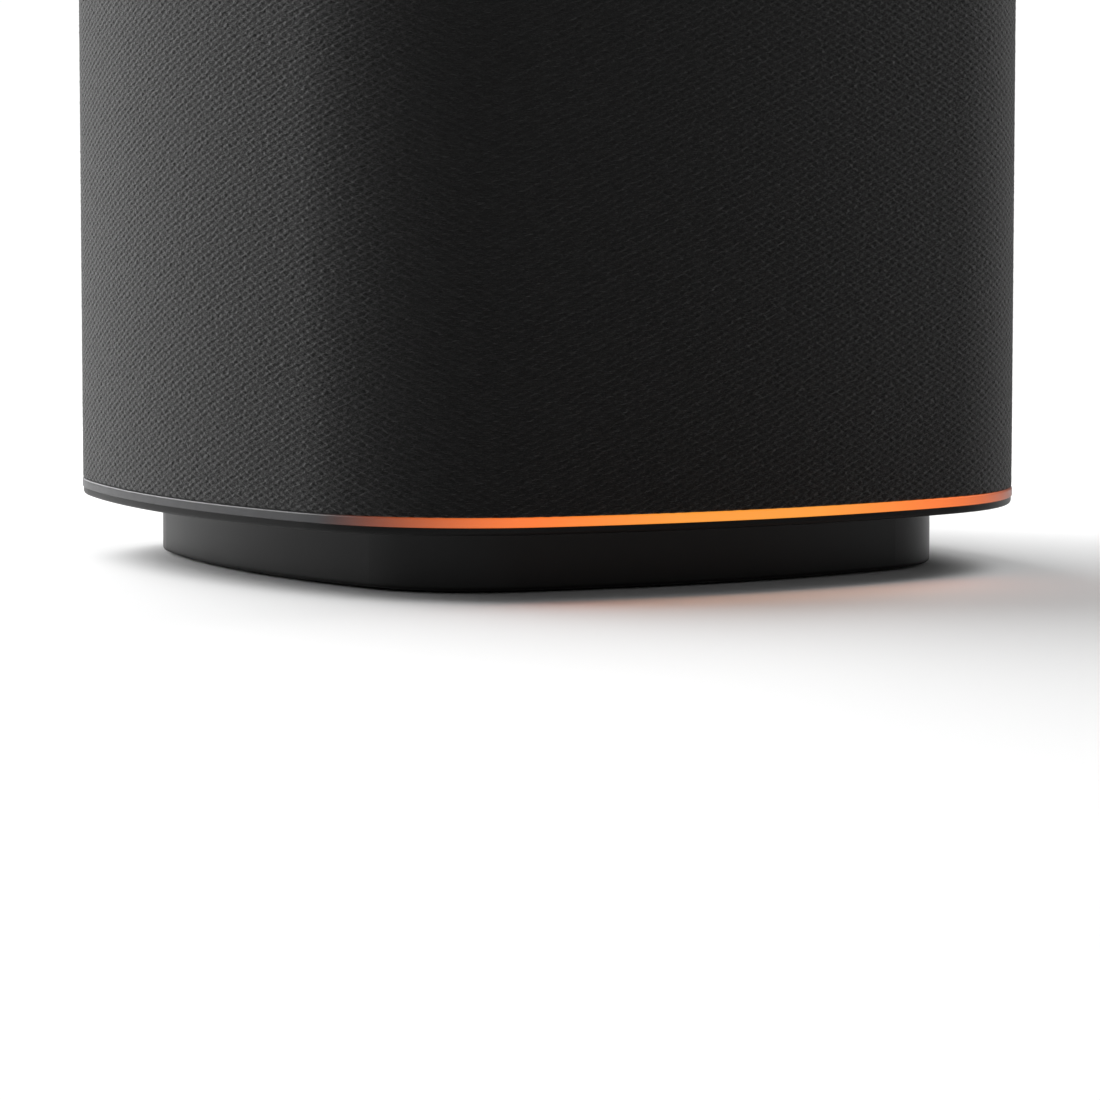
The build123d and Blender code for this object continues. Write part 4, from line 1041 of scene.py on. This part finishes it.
@dataclass
class TopDeck(SubAssembly):
    """The top panel with its four dished keys and what lies under it."""

    reach: float = 2.1 * MM
    stroke: float = 0.5 * MM
    film: float = 0.04 * MM
    dish_radius: float = 30.0 * MM
    dish_depth: float = 0.3 * MM
    # Parts of the ring and microphone marks, as shares of the reach.
    ring_share: float = 0.62
    mouth_share: float = 0.35
    mouth_half_height: float = 0.32
    mouth_lift: float = 0.25
    cradle_share: float = 0.68
    cradle_lift: float = 0.05
    stem_place: float = -0.82
    stem_length: float = 0.34

    def bar(self, centre: tuple[float, float], length: float, angle: float) -> list[tuple[float, float]]:
        """Outline of a straight stroke with rounded ends.

        Args:
            centre: its middle.
            length: its whole length.
            angle: its direction, in degrees from +X.

        Returns:
            The outline's points, counter-clockwise.
        """
        radius = self.stroke / 2
        turn = radians(angle)
        outline = []
        for end, first in ((1, -90), (-1, 90)):
            for step in range(9):
                around = radians(first + 22.5 * step)
                x = end * (length / 2 - radius) + radius * cos(around)
                y = radius * sin(around)
                outline.append(
                    (centre[0] + x * cos(turn) - y * sin(turn), centre[1] + x * sin(turn) + y * cos(turn))
                )
        return outline

    def ring_part(
        self, centre: tuple[float, float], radius: float, angles: tuple[float, float]
    ) -> list[tuple[float, float]]:
        """Outline of a curved stroke.

        Args:
            centre: centre of the curve.
            radius: radius of the stroke's middle line.
            angles: first and last angle in degrees.

        Returns:
            The outline's points, counter-clockwise.
        """
        steps = 24
        sweep = [radians(angles[0] + (angles[1] - angles[0]) * step / steps) for step in range(steps + 1)]
        outer = radius + self.stroke / 2
        inner = radius - self.stroke / 2
        outline = [(centre[0] + outer * cos(a), centre[1] + outer * sin(a)) for a in sweep]
        return outline + [(centre[0] + inner * cos(a), centre[1] + inner * sin(a)) for a in reversed(sweep)]

    def outlines(self, mark: Mark) -> list[list[tuple[float, float]]]:
        """Closed outlines that make up a mark.

        Args:
            mark: which mark.

        Returns:
            One list of points for each stroke.
        """
        if mark is Mark.MINUS:
            return [self.bar((0, 0), 2 * self.reach, 0)]
        if mark is Mark.PLUS:
            arm = self.reach / 2 + self.stroke / 4
            side_bars = [self.bar((end * arm, 0), self.reach - self.stroke / 2, 0) for end in (-1, 1)]
            return [self.bar((0, 0), 2 * self.reach, 90), *side_bars]
        if mark is Mark.RING:
            return [self.ring_part((0, 0), self.reach * self.ring_share, (0, 359.9))]
        mouth = self.mouth_share * self.reach
        capsule = []
        for angle in range(0, 360, 15):
            end = self.mouth_half_height if angle < 180 else -self.mouth_half_height
            rise = (end + self.mouth_lift) * self.reach
            capsule.append((mouth * cos(radians(angle)), rise + mouth * sin(radians(angle))))
        cradle_centre = (0.0, self.cradle_lift * self.reach)
        cradle = self.ring_part(cradle_centre, self.cradle_share * self.reach, (190, 350))
        stem = self.bar((0, self.stem_place * self.reach), self.stem_length * self.reach, 90)
        return [capsule, cradle, stem]

    def print_mark(self, mark: Mark) -> bpy.types.Object:
        """Prints a mark into the hollow of its key.

        Args:
            mark: which mark.

        Returns:
            The ink film.
        """
        low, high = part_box(f"{mark.value}_button")
        middle = (low + high) / 2
        floor = high.z - self.dish_depth
        points: list[Point] = []
        faces: list[list[int]] = []
        for outline in self.outlines(mark):
            first = len(points)
            count = len(outline)
            for lift in (-0.5, 1.0):
                for x, y in outline:
                    hollow = floor + (x * x + y * y) / (2 * self.dish_radius)
                    points.append((middle.x + x, middle.y + y, hollow + lift * self.film))
            faces.append([first + count + place for place in range(count)])
            faces.append([first + count - 1 - place for place in range(count)])
            for place in range(count):
                beyond = (place + 1) % count
                faces.append([first + place, first + beyond, first + count + beyond, first + count + place])
        film = mesh_piece(f"{mark.value}_mark", points, faces)
        for face in film.data.polygons:
            face.use_smooth = False
        return film

    def build(self) -> None:
        """Prints the four marks; each rides on its own key."""
        for mark in Mark:
            film = self.print_mark(mark)
            film.data.materials.append(KEY_INK.material())
            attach(film, f"{mark.value}_key")
            self.made.append(film)


# ---------------------------------------------------------------------------------------------------------
# Studio: floor, light and camera
# ---------------------------------------------------------------------------------------------------------


@dataclass(frozen=True)
class Softbox:
    """A rectangular studio light that faces a point."""

    name: str
    place: Point
    aim: Point
    size: tuple[float, float]
    power: float
    colour: str = "#FFFFFF"

    def hang(self) -> None:
        """Puts the light up, out of the camera's sight."""
        lamp = bpy.data.lights.new(self.name, "AREA")
        lamp.shape = "RECTANGLE"
        lamp.size, lamp.size_y = self.size
        lamp.energy = self.power
        lamp.color = linear(self.colour)[:3]
        light = bpy.data.objects.new(self.name, lamp)
        light.location = self.place
        light.rotation_euler = (Vector(self.aim) - Vector(self.place)).to_track_quat("-Z", "Y").to_euler()
        light.visible_camera = False
        bpy.context.scene.collection.objects.link(light)


@dataclass
class Studio:
    """A pale sweep with soft light, and the camera."""

    plan: BodyPlan = field(default_factory=BodyPlan)
    floor_half: float = 1.5
    sweep_start: float = 0.13
    sweep_end: float = 0.42
    glow_height: float = 10.2 * MM
    glow_step: float = 10 * MM
    glow_width: float = 1.0 * MM
    glow_lean: float = -2 * MM
    glow_gap: float = 0.6 * MM
    glow_drop: float = 2 * MM
    glow_power: float = 0.00026
    # Lamps either side of the middle one; the last one at each end is redder.
    glow_lamps: int = 3
    camera_place: Point = (-0.3400, -0.5725, 0.0611)
    camera_down: float = 5.163
    camera_turn: float = 30.815
    lens: float = 152.4
    softboxes: tuple[Softbox, ...] = (
        Softbox("back_left_softbox", (-0.45, 1.15, 0.85), (0.0, 0.0, 0.05), (2.0, 1.2), 50.0),
        Softbox("top_softbox", (0.0, 0.0, 1.6), (0.0, 0.0, 0.0), (1.8, 1.8), 4.0),
        Softbox("right_softbox", (0.95, 0.25, 1.0), (0.0, 0.0, 0.05), (0.8, 0.8), 9.0),
        Softbox("front_softbox", (-0.4, -1.3, 0.6), (0.0, 0.0, 0.08), (0.8, 0.6), 1.2),
    )

    def lay_floor(self) -> None:
        """Lays the floor: matt white board near the hub, passing into a backlit white sweep farther out."""
        half = self.floor_half
        corners = [(-half, -half, 0.0), (half, -half, 0.0), (half, half, 0.0), (-half, half, 0.0)]
        floor = mesh_piece("studio_floor", corners, [(0, 1, 2, 3)])
        board = bpy.data.materials.new("white_board")
        board.use_nodes = True
        tree = board.node_tree
        tree.nodes.clear()
        values = {"Base Color": linear("#F4F4F4"), "Roughness": 0.9, "Specular IOR Level": 0.1}
        matt = add_node(tree, "ShaderNodeBsdfPrincipled", values)
        backlit = add_node(tree, "ShaderNodeEmission", {"Color": linear("#FFFFFF"), "Strength": 1.05})
        place = add_node(tree, "ShaderNodeTexCoord").outputs["Object"]
        distance = add_node(tree, "ShaderNodeVectorMath", {0: place}, operation="LENGTH")
        share = rescale(tree, distance.outputs["Value"], (self.sweep_start, self.sweep_end), smooth=True)
        shaders = {0: share, 1: matt.outputs["BSDF"], 2: backlit.outputs["Emission"]}
        blend = add_node(tree, "ShaderNodeMixShader", shaders)
        add_node(tree, "ShaderNodeOutputMaterial", {"Surface": blend.outputs["Shader"]})
        floor.data.materials.append(board)

    def light_room(self) -> None:
        """Sets a dim even surround that looks white, and puts the softboxes up."""
        world = bpy.data.worlds.new("studio_surround")
        bpy.context.scene.world = world
        world.use_nodes = True
        tree = world.node_tree
        tree.nodes.clear()
        seen = add_node(tree, "ShaderNodeLightPath").outputs["Is Camera Ray"]
        dim = add_node(tree, "ShaderNodeBackground", {"Color": linear("#FFFFFF"), "Strength": 0.12})
        white = add_node(tree, "ShaderNodeBackground", {"Color": linear("#FFFFFF"), "Strength": 1.05})
        shaders = {0: seen, 1: dim.outputs["Background"], 2: white.outputs["Background"]}
        choice = add_node(tree, "ShaderNodeMixShader", shaders)
        add_node(tree, "ShaderNodeOutputWorld", {"Surface": choice.outputs["Shader"]})
        for softbox in self.softboxes:
            softbox.hang()

    def spill_glow(self) -> None:
        """Adds the strip's light on the floor, as thin lamps along its lit front."""
        for place in range(-self.glow_lamps, self.glow_lamps + 1):
            along = place * self.glow_step + self.glow_lean
            x, y, face_x, face_y = self.plan.place(along, -self.glow_gap)
            start = (x, y, self.glow_height)
            low = self.glow_height - self.glow_drop
            aim = (x + face_x * self.glow_step, y + face_y * self.glow_step, low)
            size = (self.glow_step, self.glow_width)
            colour = "#FF9A48" if abs(place) < self.glow_lamps else "#FF7A38"
            name = f"glow_{place + self.glow_lamps + 1}"
            Softbox(name, start, aim, size, self.glow_power, colour).hang()

    def set_camera(self) -> None:
        """Places the camera in front of the hub's left front corner, a little above the table."""
        camera = bpy.data.cameras.new("camera")
        camera.lens = self.lens
        camera.clip_start = 0.01
        holder = bpy.data.objects.new("camera", camera)
        holder.location = self.camera_place
        holder.rotation_euler = (radians(90 - self.camera_down), 0.0, -radians(self.camera_turn))
        bpy.context.scene.collection.objects.link(holder)
        bpy.context.scene.camera = holder

    def set_up(self) -> None:
        """Sets up the whole studio."""
        bpy.context.scene.view_settings.view_transform = "Standard"
        self.lay_floor()
        self.light_room()
        self.spill_glow()
        self.set_camera()


def main() -> None:
    """Builds and dresses every sub-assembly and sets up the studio."""
    logging.basicConfig(level=logging.INFO, format="%(name)s: %(message)s")
    sub_assemblies: list[SubAssembly] = [
        KnitSleeve("knit sleeve", ("knit_fabric",)),
        LightRing("light ring", ("opal_light_guide", "emitter")),
        TopDeck("top deck", ("panel_plastic", "button_plastic", "plunger_plastic", "flex_polyimide")),
        SubAssembly("base", ("black_abs", "plinth_plastic", "foot_rubber", "screw_steel", "inlet_steel")),
        SubAssembly(
            "electronics",
            (
                "board_green",
                "lead_insulation",
                "tin_plate",
                "heat_sink_aluminium",
                "chip_epoxy",
                "capacitor_can",
            ),
        ),
        SubAssembly(
            "speakers",
            (
                "box_abs",
                "basket_steel",
                "zinc_steel",
                "ferrite",
                "cone_paper",
                "copper_coil",
                "roll_rubber",
                "spider_cloth",
                "dome_silk",
                "radiator_aluminium",
            ),
        ),
    ]
    for sub_assembly in sub_assemblies:
        sub_assembly.build()
        sub_assembly.dress()
        sub_assembly.report()
    Studio().set_up()


if __name__ == "__main__":
    main()
